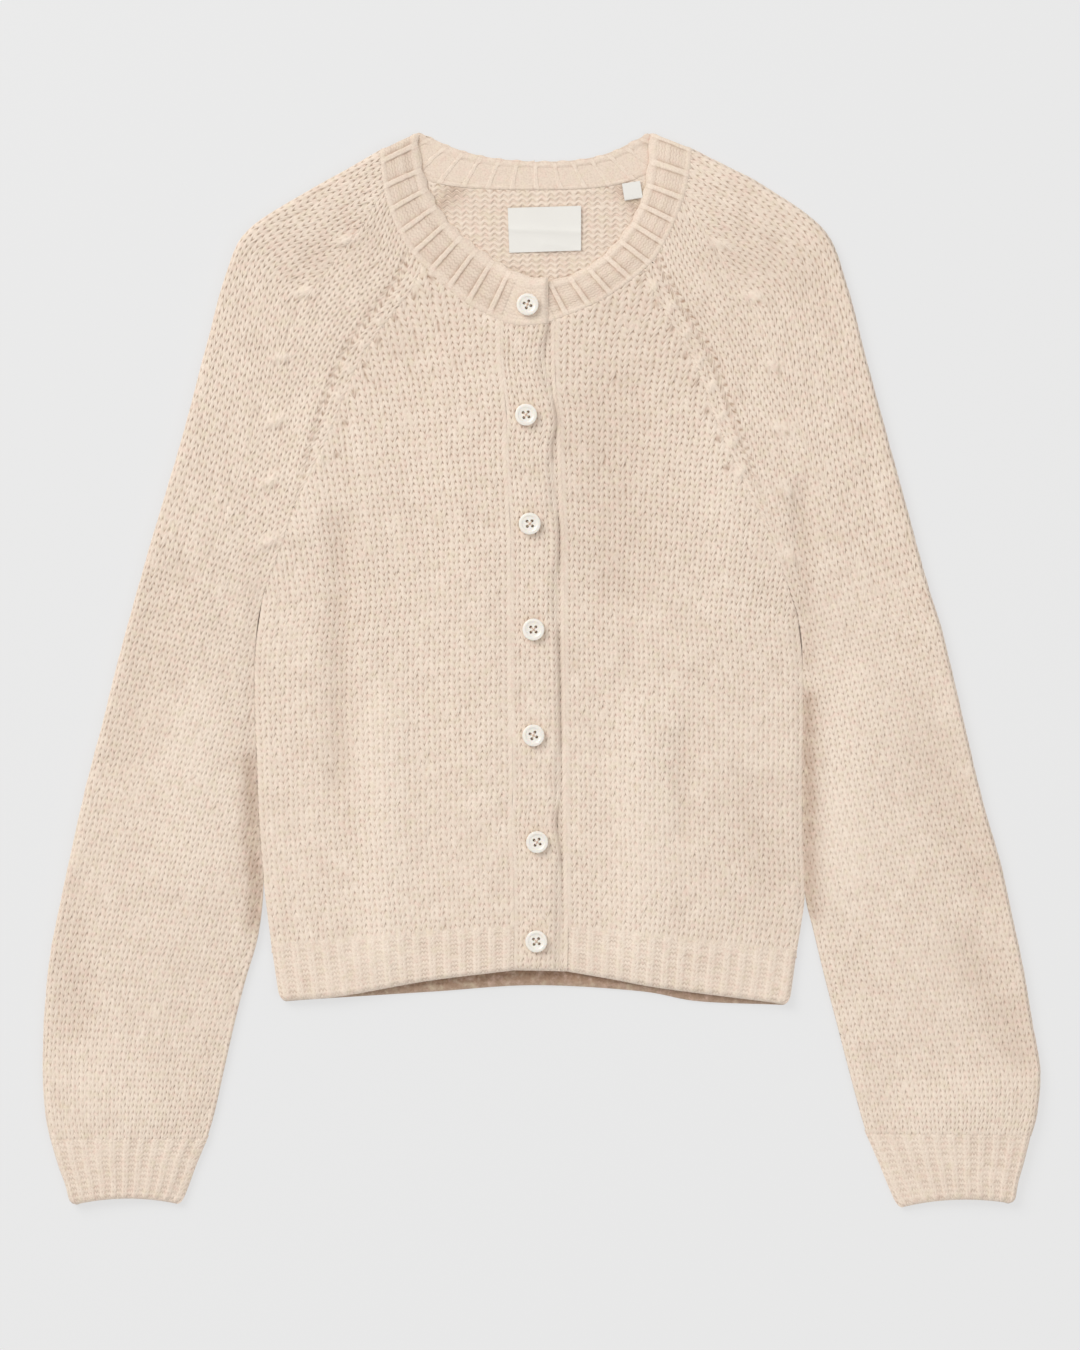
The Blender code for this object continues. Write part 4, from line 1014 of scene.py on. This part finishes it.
def make_sleeve(
    name, side, raglan, sleeve_seam, cuff_seam, fold, back_raglan, neck, node, knots, shade,
):
    fold = curve(fold)
    seam = curve([*sleeve_seam[::-1], *side[2:], *raglan])[::-1]
    back_seam = curve([*sleeve_seam[::-1], *side[2:], *back_raglan])[::-1]
    underarm = np.argmin(np.linalg.norm(seam - side[-1], axis=1))
    across = inward_of(seam, (0.0, -900.0))[underarm]
    level = np.argmin(np.linalg.norm(fold - (seam[underarm] + across * SLEEVE_OUT), axis=1))
    knee = (UNDERARM_ROW / SLEEVE_ROWS, (
        length_of(seam[underarm:]) / length_of(seam), length_of(fold[level:]) / length_of(fold),
    ))
    closed = np.vstack([curve(cuff_seam)[::-3], seam[underarm:][::-3]])
    on = folded(seam, fold, back_seam, closed, SLEEVE_ROWS, knee, neck)
    at_underarm = float(on.reach(np.array(float(UNDERARM_ROW))))
    across_underarm = round(at_underarm / SEAM_WALE)
    wale = at_underarm / across_underarm
    widest = float(on.reach(np.array(WIDEST_ROW)))

    def below(u, t):
        """Every wale follows the fold, and they draw in together above the cuff."""
        drawn_in = np.minimum(1, on.reach(np.minimum(t, WIDEST_ROW)) / widest)
        points, out, firm, sunk = on(u * wale * drawn_in, t)
        return points, out, firm, sunk + TUCK * smooth(t, UNDERARM_ROW + 0.5, UNDERARM_ROW + 2) * (u > -1.5)

    def border(t):
        return on.reach(t) - SEAM_WALES * wale

    def round_fold(u, t):
        """Above the underarm the wales that follow the fold dive under those at the seam."""
        w = np.minimum(u * wale, border(t) + TUCK)
        points, out, firm, sunk = on(w, t)
        tucked = w - border(t)
        return points, out, firm, sunk + TUCK * smooth(tucked, 0, TUCK) + started(t)

    def beside_seam(u, t):
        points, out, firm, sunk = on(on.reach(t) - u * wale, t)
        return points, out, firm, sunk + TUCK * smooth(u, SEAM_WALES, SEAM_WALES + STRIP_OVER) + started(t)

    def started(t):
        """How far the upper areas dive under the lower one where they start."""
        return TUCK * smooth(UNDERARM_ROW + 0.5 - t, 0, 1.5)

    upper_from = UNDERARM_ROW - 1
    upper_rows = SLEEVE_ROWS - upper_from
    raglan_line = curve(raglan)
    holes = seam_holes(raglan_line, -inward_of(raglan_line, (0.0, 60.0))) + [
        (x + shift, y - drop, 1.7, deep)
        for x, y, _ in knots for shift, drop, deep in ((-4.0, 4.6, 0.4), (3.5, 4.2, 0.55))
    ]
    # painted shade on the sleeve along the body beside it
    marks = marked(knots, holes, 1.4, (8.5, 3.2), shaded([np.array(shade)], 0.42, 7.5))
    made = make_cloth(
        name,
        [
            knit(STOCKINETTE, FOLD_WALES, UNDERARM_ROW + 2, below, start=-1, marks=marks),
            knit(STOCKINETTE, FOLD_WALES - 4, upper_rows, round_fold, -1, upper_from, marks=marks),
            knit(STOCKINETTE, SEAM_WALES + STRIP_OVER, upper_rows, beside_seam, 0, upper_from, marks=marks),
            knit(UNDERSIDE, FOLD_WALES, SLEEVE_ROWS, below, start=-1 - FOLD_WALES, steps=COARSE),
            lining(below, 2 * FOLD_WALES, UNDERARM_ROW, -FOLD_WALES),
            lining(round_fold, 2 * FOLD_WALES, upper_rows, -FOLD_WALES, upper_from),
            lining(beside_seam, SEAM_WALES, upper_rows, 0, upper_from),
        ],
        stockinette_wool, node,
    )


make_sleeve(
    "right_sleeve_knit", RIGHT_SIDE, RIGHT_RAGLAN, RIGHT_SLEEVE_SEAM, RIGHT_CUFF_SEAM, RIGHT_FOLD,
    RIGHT_BACK_RAGLAN, curve(NECK_RIGHT, 5, 8), "sleeve_right",
    (
        (-133.0, 293.0, 15), (-161.5, 257.5, 4), (-177.5, 213.0, 16), (-181.0, 169.5, 24),
        (-184.5, 129.0, 30), (-184.5, 88.0, 32),
    ),
    ((-199.0, -62.0), (-197.5, -115.0), (-195.0, -172.0)),
)
make_sleeve(
    "left_sleeve_knit", LEFT_SIDE, LEFT_RAGLAN, LEFT_SLEEVE_SEAM, LEFT_CUFF_SEAM, LEFT_FOLD,
    LEFT_BACK_RAGLAN, curve(NECK_LEFT, 5, 8), "sleeve_left",
    (
        (122.0, 290.5, 165), (145.0, 254.5, 176), (158.0, 208.0, 164), (164.0, 165.0, 156),
        (168.0, 122.0, 150), (170.5, 77.5, 148),
    ),
    ((182.0, -20.0), (183.0, -90.0), (183.5, -165.0)),
)


# ----------------------------------------------------------------- The cuffs
# A short tube of the same rib on each sleeve, which draws the knitting in.

CUFF_PITCH = 10.3
CUFF_ROWS = 13
CUFF_OVERLAP = 5.6  # how far the cuff runs up under the end of the sleeve


def started_above(line):
    """A line begun a little before its first point."""
    first, second = np.array(line[0]), np.array(line[1])
    back = (first - second) / np.linalg.norm(first - second)
    return curve([first + back * CUFF_OVERLAP, *line])


def make_cuff(name, seam, sleeve_seam, fold, node):
    seam, fold = started_above(seam), started_above(fold)
    closed = np.vstack([seam[::-3], curve(sleeve_seam)[::-3]])
    on = folded(seam, fold, seam, closed, CUFF_ROWS)
    ribs = round(float(on.reach(np.array(float(CUFF_ROWS)))) / CUFF_PITCH)

    def fanned(u, t):
        return on(on.reach(t) * (1 - u / ribs), t)

    made = make_cloth(
        name,
        [
            knit(RIB, 2 * ribs, CUFF_ROWS, fanned, relief=RIB_RELIEF, loose=RIB_LOOSE, stray=RIB_STRAY),
            lining(fanned, 2 * ribs, CUFF_ROWS),
        ],
        rib_wool, node,
    )


make_cuff(
    "right_cuff_rib", RIGHT_CUFF_SEAM, RIGHT_SLEEVE_SEAM,
    ((-334.0, -323.0), (-329.5, -338.0), (-324.5, -352.0), (-321.5, -364.5)), "cuff_right",
)
make_cuff(
    "left_cuff_rib", LEFT_CUFF_SEAM, LEFT_SLEEVE_SEAM,
    ((333.0, -320.0), (329.0, -336.0), (325.0, -350.0), (323.0, -363.5)), "cuff_left",
)


# --------------------------------------------------------------- The neckband
# A band picked up round the neck and knitted upwards, of smooth fine panels between
# single raised wales. It folds over at both shoulders, and its inside shows at the back.

# The free edges of the neckband
FREE_RIGHT = (
    (4.5, 266.5), (-11.5, 268.0), (-36.5, 283.0), (-61.0, 303.5), (-76.0, 326.5),
    (-82.5, 350.0), (-84.0, 367.0),
)
FREE_LEFT = (
    (-24.0, 268.0), (-8.0, 266.0), (13.5, 267.0), (39.0, 280.0), (60.5, 304.5),
    (70.0, 328.5), (73.0, 350.0), (74.0, 367.0),
)
FREE_BACK = (
    (-84.0, 367.0), (-56.0, 354.5), (-25.0, 348.0), (15.5, 347.0), (46.0, 352.5), (74.0, 367.0),
)
NECK_PITCH = 16.8  # from one raised wale to the next
NECK_END = 34.0  # the plain stretch at each front end
NECK_ROWS = 14
NECK_WIDTH = 31.0
BACK_NECK_WIDTH = 20.0  # how much of its inside shows at the back
NECK_RIB = (
    (0.0, 0.0, 0.22, 0.5, 0.3), (0.11, 0.5, 0.2, 0.5, 0.3), (0.22, 0.0, 0.2, 0.46, 0.3),
    (0.32, 0.5, 0.14, 0.34, 0.35), (0.37, 0.0, 0.06, 0.18, 0.5), (0.41, 0.0, 0.7, 0.8, 0.3),
    (0.45, 0.2, 0.92, 1.0, 0.3), (0.5, 0.0, 0.6, 0.7, 0.5), (0.55, 0.2, 0.92, 1.0, 0.3),
    (0.59, 0.0, 0.7, 0.8, 0.3), (0.63, 0.0, 0.06, 0.18, 0.5), (0.68, 0.5, 0.14, 0.34, 0.35),
    (0.78, 0.0, 0.2, 0.46, 0.3), (0.89, 0.5, 0.2, 0.5, 0.3),
)
NECK_PANEL = tuple((k / 8, 0.5 * (k % 2), 0.5, 0.8, 0.35) for k in range(8))
LEAN = 0.042  # how far the raised wales lean towards the front, as a share of the free edge
NECK_RELIEF = 1.05
NECK_LOOSE, NECK_STRAY = 0.5, 0.01
SEAM_BORDER = 2.4  # the smooth borders along the seam and along the free edge
FREE_BORDER = 4.6
FREE_DROP = 2.6  # how far the free edge lies down towards the back
SCALLOP = 0.045  # how far the free edge draws in at each raised wale
ROUND_END = 3.2  # how far the corners of a panel are rounded off
BULGE = 0.8  # how far the rolled edge swells out


def edging(place, wales, at):
    """The rounded free edge that joins the two faces of an area along one of its rows."""
    u = np.linspace(0, wales, int(wales * 10) + 2)
    points, out, _, sunk = place(u, np.full(u.shape, float(at)))
    way = points - place(u, np.full(u.shape, at - 0.5))[0]
    way = way / np.linalg.norm(way, axis=1, keepdims=True)
    below = WALL - CREST * np.clip(-out[:, 2], 0, 1)
    outer, inner = points + out * (CREST - sunk)[:, None], points - out * below[:, None]
    k = np.linspace(0, 1, 5)[:, None, None]
    edge = outer * (1 - k) + inner * k + way * BULGE * np.sin(np.pi * k)
    return edge, np.full(edge.shape[:2], 0.9), np.broadcast_to(way, edge.shape)


def scalloped(u, up):
    """The share of the band's height, drawn in towards the free edge at each raised wale."""
    return up * (1 - SCALLOP * (0.5 - 0.5 * np.cos(2 * np.pi * u))[..., None] * up**4)


def corner_at(u):
    return ROUND_END * (2 * np.abs(u - np.round(u))) ** 4


def neck_place(seam, free, back_seam, back_free, face, from_end=0.0):
    """Places along the outside of the neckband: over the front, round the fold, under the back."""
    run, back_run = length_of(seam), length_of(back_seam)
    radius = (LAYER + PUFF + SHUT + WALL) / 2
    arc = radius * np.pi / 2
    outward = along(seam, 1.0) - along(seam, 0.94)
    outward = outward / np.linalg.norm(outward)

    def place(u, t):
        a = from_end + u * NECK_PITCH
        w = np.maximum(arc + run - radius - a, -(arc + back_run / 2 - radius))
        turn, offset = turned(w, radius)
        front = w >= 0
        up = (t / NECK_ROWS)[..., None]
        if from_end:
            up = scalloped(u, up)
        share = np.clip(1 - offset / run, 0, 1)
        lean = LEAN * smooth(share, 0, 0.15) * (1 - smooth(share, 0.85, 1.0))
        fore = along(seam, share) * (1 - up) + along(free, share - lean) * up
        share = np.clip(offset / back_run, 0, 1)
        aft = along(back_seam, share) * (1 - up) + along(back_free, share) * up
        plan = np.where(front[..., None], fore, aft)
        across = up[..., 0] * NECK_WIDTH
        risen = face(plan) - left_face(plan)
        drop = (FREE_DROP + risen) * smooth(across, 10, NECK_WIDTH) * smooth(a, 25, 60)
        middle = BACK_Z - WALL / 2 + radius - drop / 2
        z = round_height(w, radius, face(plan) - drop, middle, (radius - drop / 2) * np.sin(turn))
        sunk = np.maximum(rounded(across, *SEWN_SINK), rounded(NECK_WIDTH - across, 2.1, 7.0))
        sunk = np.maximum(sunk, rounded(a, *FREE_SINK) * front)
        corner = corner_at(u) * (from_end > 0)
        near = np.minimum(across - SEAM_BORDER - corner / 2, NECK_WIDTH - across - FREE_BORDER - corner)
        return at_height(plan, z), round_out(outward, turn, front), smooth(near, -0.6, 2.4), sunk

    return place


def neck_areas(neck, free, way, face):
    """One half of the neckband: its plain front end, then its ribs round to the middle of the back."""
    lines = curve(neck), curve(free), curve(NECK_BACK)[::way], curve(FREE_BACK)[::way]
    repeats = (length_of(lines[0]) - NECK_END + 10 + length_of(lines[2]) / 2) / NECK_PITCH
    end, rest = neck_place(*lines, face), neck_place(*lines, face, NECK_END)
    shared = {"relief": NECK_RELIEF, "loose": NECK_LOOSE, "stray": NECK_STRAY}
    return [
        knit(NECK_PANEL, NECK_END / NECK_PITCH, NECK_ROWS, end, **shared),
        knit(NECK_RIB, repeats, NECK_ROWS, rest, **shared),
        lining(end, NECK_END / NECK_PITCH, NECK_ROWS), lining(rest, repeats, NECK_ROWS),
        edging(end, NECK_END / NECK_PITCH, NECK_ROWS), edging(rest, repeats, NECK_ROWS),
    ]


neckband_wool = wool("cream wool neckband", CREAM, SHADE, 0.5, 0.3)


def back_band_inside(u, t):
    """The inside of the back neckband, which lies face up."""
    seam, free = curve(NECK_BACK), curve(FREE_BACK)
    share = np.clip((4 + u * NECK_PITCH) / length_of(seam), 0.004, 0.996)
    up = scalloped(u, (t / NECK_ROWS)[..., None])
    plan = along(seam, share) * (1 - up) + along(free, share) * up
    across = up[..., 0] * BACK_NECK_WIDTH
    to_free = BACK_NECK_WIDTH - across
    sunk = np.maximum(rounded(across, 0.5, 2.0), rounded(to_free, 0.45, 2.6))
    near = np.minimum(across - 2.0, to_free - 3.0 - corner_at(u))
    return laid(plan, WALL + 0.1, smooth(near, -0.6, 2.0), sunk)


neckband = make_cloth(
    "neckband_rib",
    [
        *neck_areas(NECK_RIGHT, FREE_RIGHT, 1, right_face),
        *neck_areas(NECK_LEFT, FREE_LEFT, -1, left_face),
        knit(NECK_RIB, 14, NECK_ROWS, back_band_inside, start=-1, relief=0.95, loose=NECK_LOOSE,
             stray=NECK_STRAY, marks=shaded([curve(FREE_RIGHT)[::3], curve(FREE_LEFT)[::3]], 0.16, 5.0)),
    ],
    neckband_wool, "neckband",
)


# --------------------------------------------------------------- The buttons
# Seven polished ivory-white buttons with a raised rim and four holes, turned from one
# blank each. They are sewn to the left band with cream wool, come up through the
# buttonholes of the right band and lie on it.

BUTTON_DIAMETER = 15.0
BUTTON_THICKNESS = 3.2
BUTTON_TURNS = (25.0, 8.0, 4.0, 2.0, 20.0, 12.0, 6.0)
BUTTON_STEPS = ((1.9, 0), (0.7, 0.5), (1.2, 0.12))  # the rim and the dish: how far in and down
HOLE_SPREAD = 1.75  # from the middle to each hole, across and along
HOLE_DIAMETER = 2.0


def pick(piece=None):
    """Leaves only this piece selected and active, or nothing selected."""
    bpy.ops.object.select_all(action="DESELECT")
    if piece:
        piece.select_set(True)
        bpy.context.view_layer.objects.active = piece


def toned(tree, shader, pattern, low, high):
    """Colours a shader between two tones by a pattern."""
    ramp = tree.nodes.new("ShaderNodeValToRGB")
    ramp.color_ramp.elements[0].color = (*low, 1)
    ramp.color_ramp.elements[1].color = (*high, 1)
    link(tree, tree.nodes.new("ShaderNodeTexCoord").outputs["Object"], pattern.inputs["Vector"])
    link(tree, pattern.outputs["Fac"], ramp.inputs["Fac"])
    link(tree, ramp.outputs["Color"], shader.inputs["Base Color"])


def ivory():
    """Polished ivory-white plastic with a faint cloud in it."""
    made, tree, shader = new_material("polished ivory", {
        "Roughness": 0.28, "Subsurface Weight": 0.15, "Subsurface Radius": (0.004, 0.003, 0.002),
        "Coat Weight": 0.4, "Coat Roughness": 0.12,
    })
    cloud = fill(tree.nodes.new("ShaderNodeTexNoise"), {"Scale": 160.0, "Detail": 2.0})
    toned(tree, shader, cloud, (0.90, 0.84, 0.75), (0.95, 0.91, 0.845))
    return made


ivory_finish = ivory()


def button_blank():
    """A disc with a soft edge, a raised rim, a dished face and four holes."""
    pick()
    bpy.ops.mesh.primitive_cylinder_add(
        vertices=48, radius=BUTTON_DIAMETER / 2 * MM, depth=BUTTON_THICKNESS * MM,
        location=(0, 0, BUTTON_THICKNESS / 2 * MM),
    )
    blank = bpy.context.object
    bpy.ops.object.transform_apply(location=True, rotation=True, scale=True)
    bpy.ops.object.mode_set(mode="EDIT")
    bpy.ops.mesh.select_all(action="DESELECT")
    bpy.ops.object.mode_set(mode="OBJECT")
    for face in blank.data.polygons:
        face.select = face.normal.z > 0.9
    bpy.ops.object.mode_set(mode="EDIT")
    bpy.ops.mesh.select_mode(type="FACE")
    for inward, down in BUTTON_STEPS:
        bpy.ops.mesh.inset(thickness=inward * MM, depth=-down * MM)
    bpy.ops.object.mode_set(mode="OBJECT")
    soften = blank.modifiers.new("soft edges", "BEVEL")
    soften.width = 0.75 * MM
    soften.segments = 3
    soften.limit_method = "ANGLE"
    soften.angle_limit = np.radians(40)
    bpy.ops.object.modifier_apply(modifier="soft edges")
    cutters = []
    for x in (-HOLE_SPREAD, HOLE_SPREAD):
        for y in (-HOLE_SPREAD, HOLE_SPREAD):
            pick()
            bpy.ops.mesh.primitive_cylinder_add(
                vertices=16, radius=HOLE_DIAMETER / 2 * MM, depth=12 * MM, location=(x * MM, y * MM, 0),
            )
            cutters.append(bpy.context.object)
    for cutter in cutters:
        pick(blank)
        hole = blank.modifiers.new("hole", "BOOLEAN")
        hole.operation = "DIFFERENCE"
        hole.object = cutter
        bpy.ops.object.modifier_apply(modifier="hole")
        bpy.data.objects.remove(cutter)
    return blank


thread_wool = wool("sewing wool", (0.93, 0.84, 0.74), (0.7, 0.5, 0.38), 0.1)


def button_thread():
    """Two crossed strands through the four holes, one over the other."""
    lines = bpy.data.curves.new("thread", "CURVE")
    lines.dimensions = "3D"
    lines.bevel_depth = 0.3 * MM
    lines.bevel_resolution = 2
    for sign, top in ((1, 3.0), (-1, 2.75)):
        path = [
            (k * HOLE_SPREAD, k * HOLE_SPREAD * sign, z)
            for k, z in ((-1, 0.6), (-0.86, 2.35), (0, top), (0.86, 2.35), (1, 0.6))
        ]
        spline = lines.splines.new("NURBS")
        spline.points.add(len(path) - 1)
        for point, at in zip(spline.points, path):
            point.co = (*(k * MM for k in at), 1)
        spline.use_endpoint_u = True
        spline.order_u = 3
        spline.resolution_u = 4
    strand = bpy.data.objects.new("thread", lines)
    bpy.context.scene.collection.objects.link(strand)
    pick(strand)
    bpy.ops.object.convert(target="MESH")
    return bpy.context.object


blank, strands = button_blank(), button_thread()
for source, surface in ((blank, ivory_finish), (strands, thread_wool)):
    source.data.materials.clear()
    source.data.materials.append(surface)
for number, turn in enumerate(BUTTON_TURNS, start=1):
    low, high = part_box(f"button_{number}")
    for source, name in ((blank, f"ivory_button_{number}"), (strands, f"button_thread_{number}")):
        piece = source.copy()
        piece.data = source.data.copy()
        bpy.context.scene.collection.objects.link(piece)
        piece.name = name
        pick(piece)
        piece.location = ((low.x + high.x) / 2, (low.y + high.y) / 2, low.z)
        piece.rotation_euler.z = np.radians(turn)
        bpy.ops.object.transform_apply(location=True, rotation=True, scale=True)
        if source is blank:
            bpy.ops.object.shade_smooth_by_angle(angle=np.radians(35))
            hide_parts(f"button_{number}")
        else:
            bpy.ops.object.shade_smooth()
        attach(piece, "root")
for source in (blank, strands):
    bpy.data.objects.remove(source)


# ----------------------------------------------------- The label and size tab
# A bare woven label sewn to the inside of the back by its four corners, and a short
# tape folded in two and caught in the neck seam beside it.

LABEL_CORNERS = ((-23.0, 315.0), (27.0, 316.5), (-22.0, 284.5), (27.0, 286.0))
LABEL_CREASES = ((-23.0, 300.5, 27.0, 298.5, 0.9), (2.0, 291.0, 27.0, 286.0, 0.5))
TAB_ROOT = (61.0, 332.5)
TAB_WIDTH = 12.5
TAB_LENGTH = 11.0
TAB_TURN = -9.0
TAB_LOW, TAB_HIGH = 3.25, 4.25  # the middles of its two layers
LABEL_LIES = 3.3


def tape(name, colour, threads):
    """Closely woven satin tape: fine threads across it and a soft shine."""
    made, tree, shader = new_material(name, {"Roughness": 0.55, "Sheen Weight": 0.3})
    weave = fill(tree.nodes.new("ShaderNodeTexWave"), {"Scale": threads, "Distortion": 0.6})
    weave.bands_direction = "Y"
    toned(tree, shader, weave, [k * 0.9 for k in colour], colour)
    roughen(tree, shader, weave.outputs["Fac"], 0.25, 0.0002)
    return made


def make_tape(name, grid, thickness, surface, node):
    """A thin strip of tape from a grid of places, given its thickness."""
    rows, columns = grid.shape[:2]
    pick()
    bpy.ops.mesh.primitive_grid_add(x_subdivisions=columns - 1, y_subdivisions=rows - 1, size=1)
    piece = bpy.context.object
    piece.name = name
    piece.data.name = name
    piece.data.vertices.foreach_set("co", (grid.reshape(-1, 3) * MM).astype(np.float32).ravel())
    piece.data.update()
    body = piece.modifiers.new("thickness", "SOLIDIFY")
    body.thickness = thickness * MM
    body.offset = 0
    bpy.ops.object.modifier_apply(modifier="thickness")
    bpy.ops.object.shade_smooth_by_angle(angle=np.radians(40))
    piece.data.materials.append(surface)
    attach(piece, "root")
    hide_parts(node)
    return piece


tape_finish = tape("off-white satin tape", (0.90, 0.875, 0.82), 900.0)
corners = np.array(LABEL_CORNERS)
s, r = np.meshgrid(np.linspace(0, 1, 41), np.linspace(1, 0, 25))
s, r = s[..., None], r[..., None]
label_plan = (1 - r) * ((1 - s) * corners[0] + s * corners[1]) + r * ((1 - s) * corners[2] + s * corners[3])
wave = 0.3 * (1 + np.sin(label_plan[..., 0] / 6.5 + label_plan[..., 1] / 11.0))
for x0, y0, x1, y1, high in LABEL_CREASES:
    crease = gap(label_plan, np.array([(x0, y0), (x1, y1)]))
    wave = wave + high * np.exp(-crease / 2.2)
label = make_tape("woven_label", at_height(label_plan, LABEL_LIES + wave), 0.6, tape_finish, "neck_label")

turn = np.radians(TAB_TURN)
down = np.array([-np.sin(turn), -np.cos(turn)])
side = np.array([np.cos(turn), -np.sin(turn)])
bend, middle = (TAB_HIGH - TAB_LOW) / 2, (TAB_HIGH + TAB_LOW) / 2
stations = [(far, TAB_LOW) for far in np.linspace(0, TAB_LENGTH, 8)]
for step in range(1, 8):
    angle = -np.pi / 2 + np.pi * step / 8
    stations.append((TAB_LENGTH + bend * np.cos(angle), middle + bend * np.sin(angle)))
stations += [(far, TAB_HIGH) for far in np.linspace(TAB_LENGTH, 0, 8)]
tab_grid = np.array([
    [(*(np.array(TAB_ROOT) + down * far + side * TAB_WIDTH * w), high) for w in np.linspace(-0.5, 0.5, 7)]
    for far, high in stations
])
size_tab = make_tape("size_tab_tape", tab_grid, 0.5, tape_finish, "size_tab")


# ------------------------------------------------------- The table and the light
# The cardigan lies on a plain pale surface under broad soft light from the upper left,
# and the camera looks straight down on it.

VIEW_WIDTH = 0.918  # what the camera sees of the surface, in metres
CAMERA_HEIGHT = 3.2
LENS_WIDTH = 36.0

pick()
bpy.ops.mesh.primitive_plane_add(size=12, location=(0, 0, 0))
floor = bpy.context.object
floor.name = "pale_surface"
# The surface is lit through from below
paper = new_material("pale paper", {
    "Base Color": (0.22, 0.22, 0.22, 1), "Roughness": 1.0, "Specular IOR Level": 0.0,
    "Emission Color": (1.0, 1.0, 1.0, 1), "Emission Strength": 0.6,
})[0]
floor.data.materials.append(paper)


def softbox(name, location, size, power, colour):
    light = bpy.data.lights.new(name, "AREA")
    light.shape = "SQUARE"
    light.size = size
    light.energy = power
    light.color = colour
    lamp = bpy.data.objects.new(name, light)
    lamp.location = location
    lamp.rotation_euler = (-Vector(location)).to_track_quat("-Z", "Y").to_euler()
    bpy.context.scene.collection.objects.link(lamp)


softbox("key_softbox", (-3.2, 3.2, 3.6), 3.4, 205.0, (1.0, 0.99, 0.98))
softbox("fill_softbox", (3.0, -2.4, 4.6), 3.6, 70.0, (0.98, 0.99, 1.0))
world = bpy.data.worlds.new("soft daylight")
world.use_nodes = True
fill(world.node_tree.nodes["Background"], {"Color": (1, 1, 1, 1), "Strength": 0.5})
bpy.context.scene.world = world
bpy.context.scene.view_settings.view_transform = "Standard"

camera_data = bpy.data.cameras.new("overhead")
camera_data.lens = LENS_WIDTH * CAMERA_HEIGHT / VIEW_WIDTH
camera = bpy.data.objects.new("overhead", camera_data)
camera.location = (-0.00102, -0.0034, CAMERA_HEIGHT + 0.012)
bpy.context.scene.collection.objects.link(camera)
bpy.context.scene.camera = camera
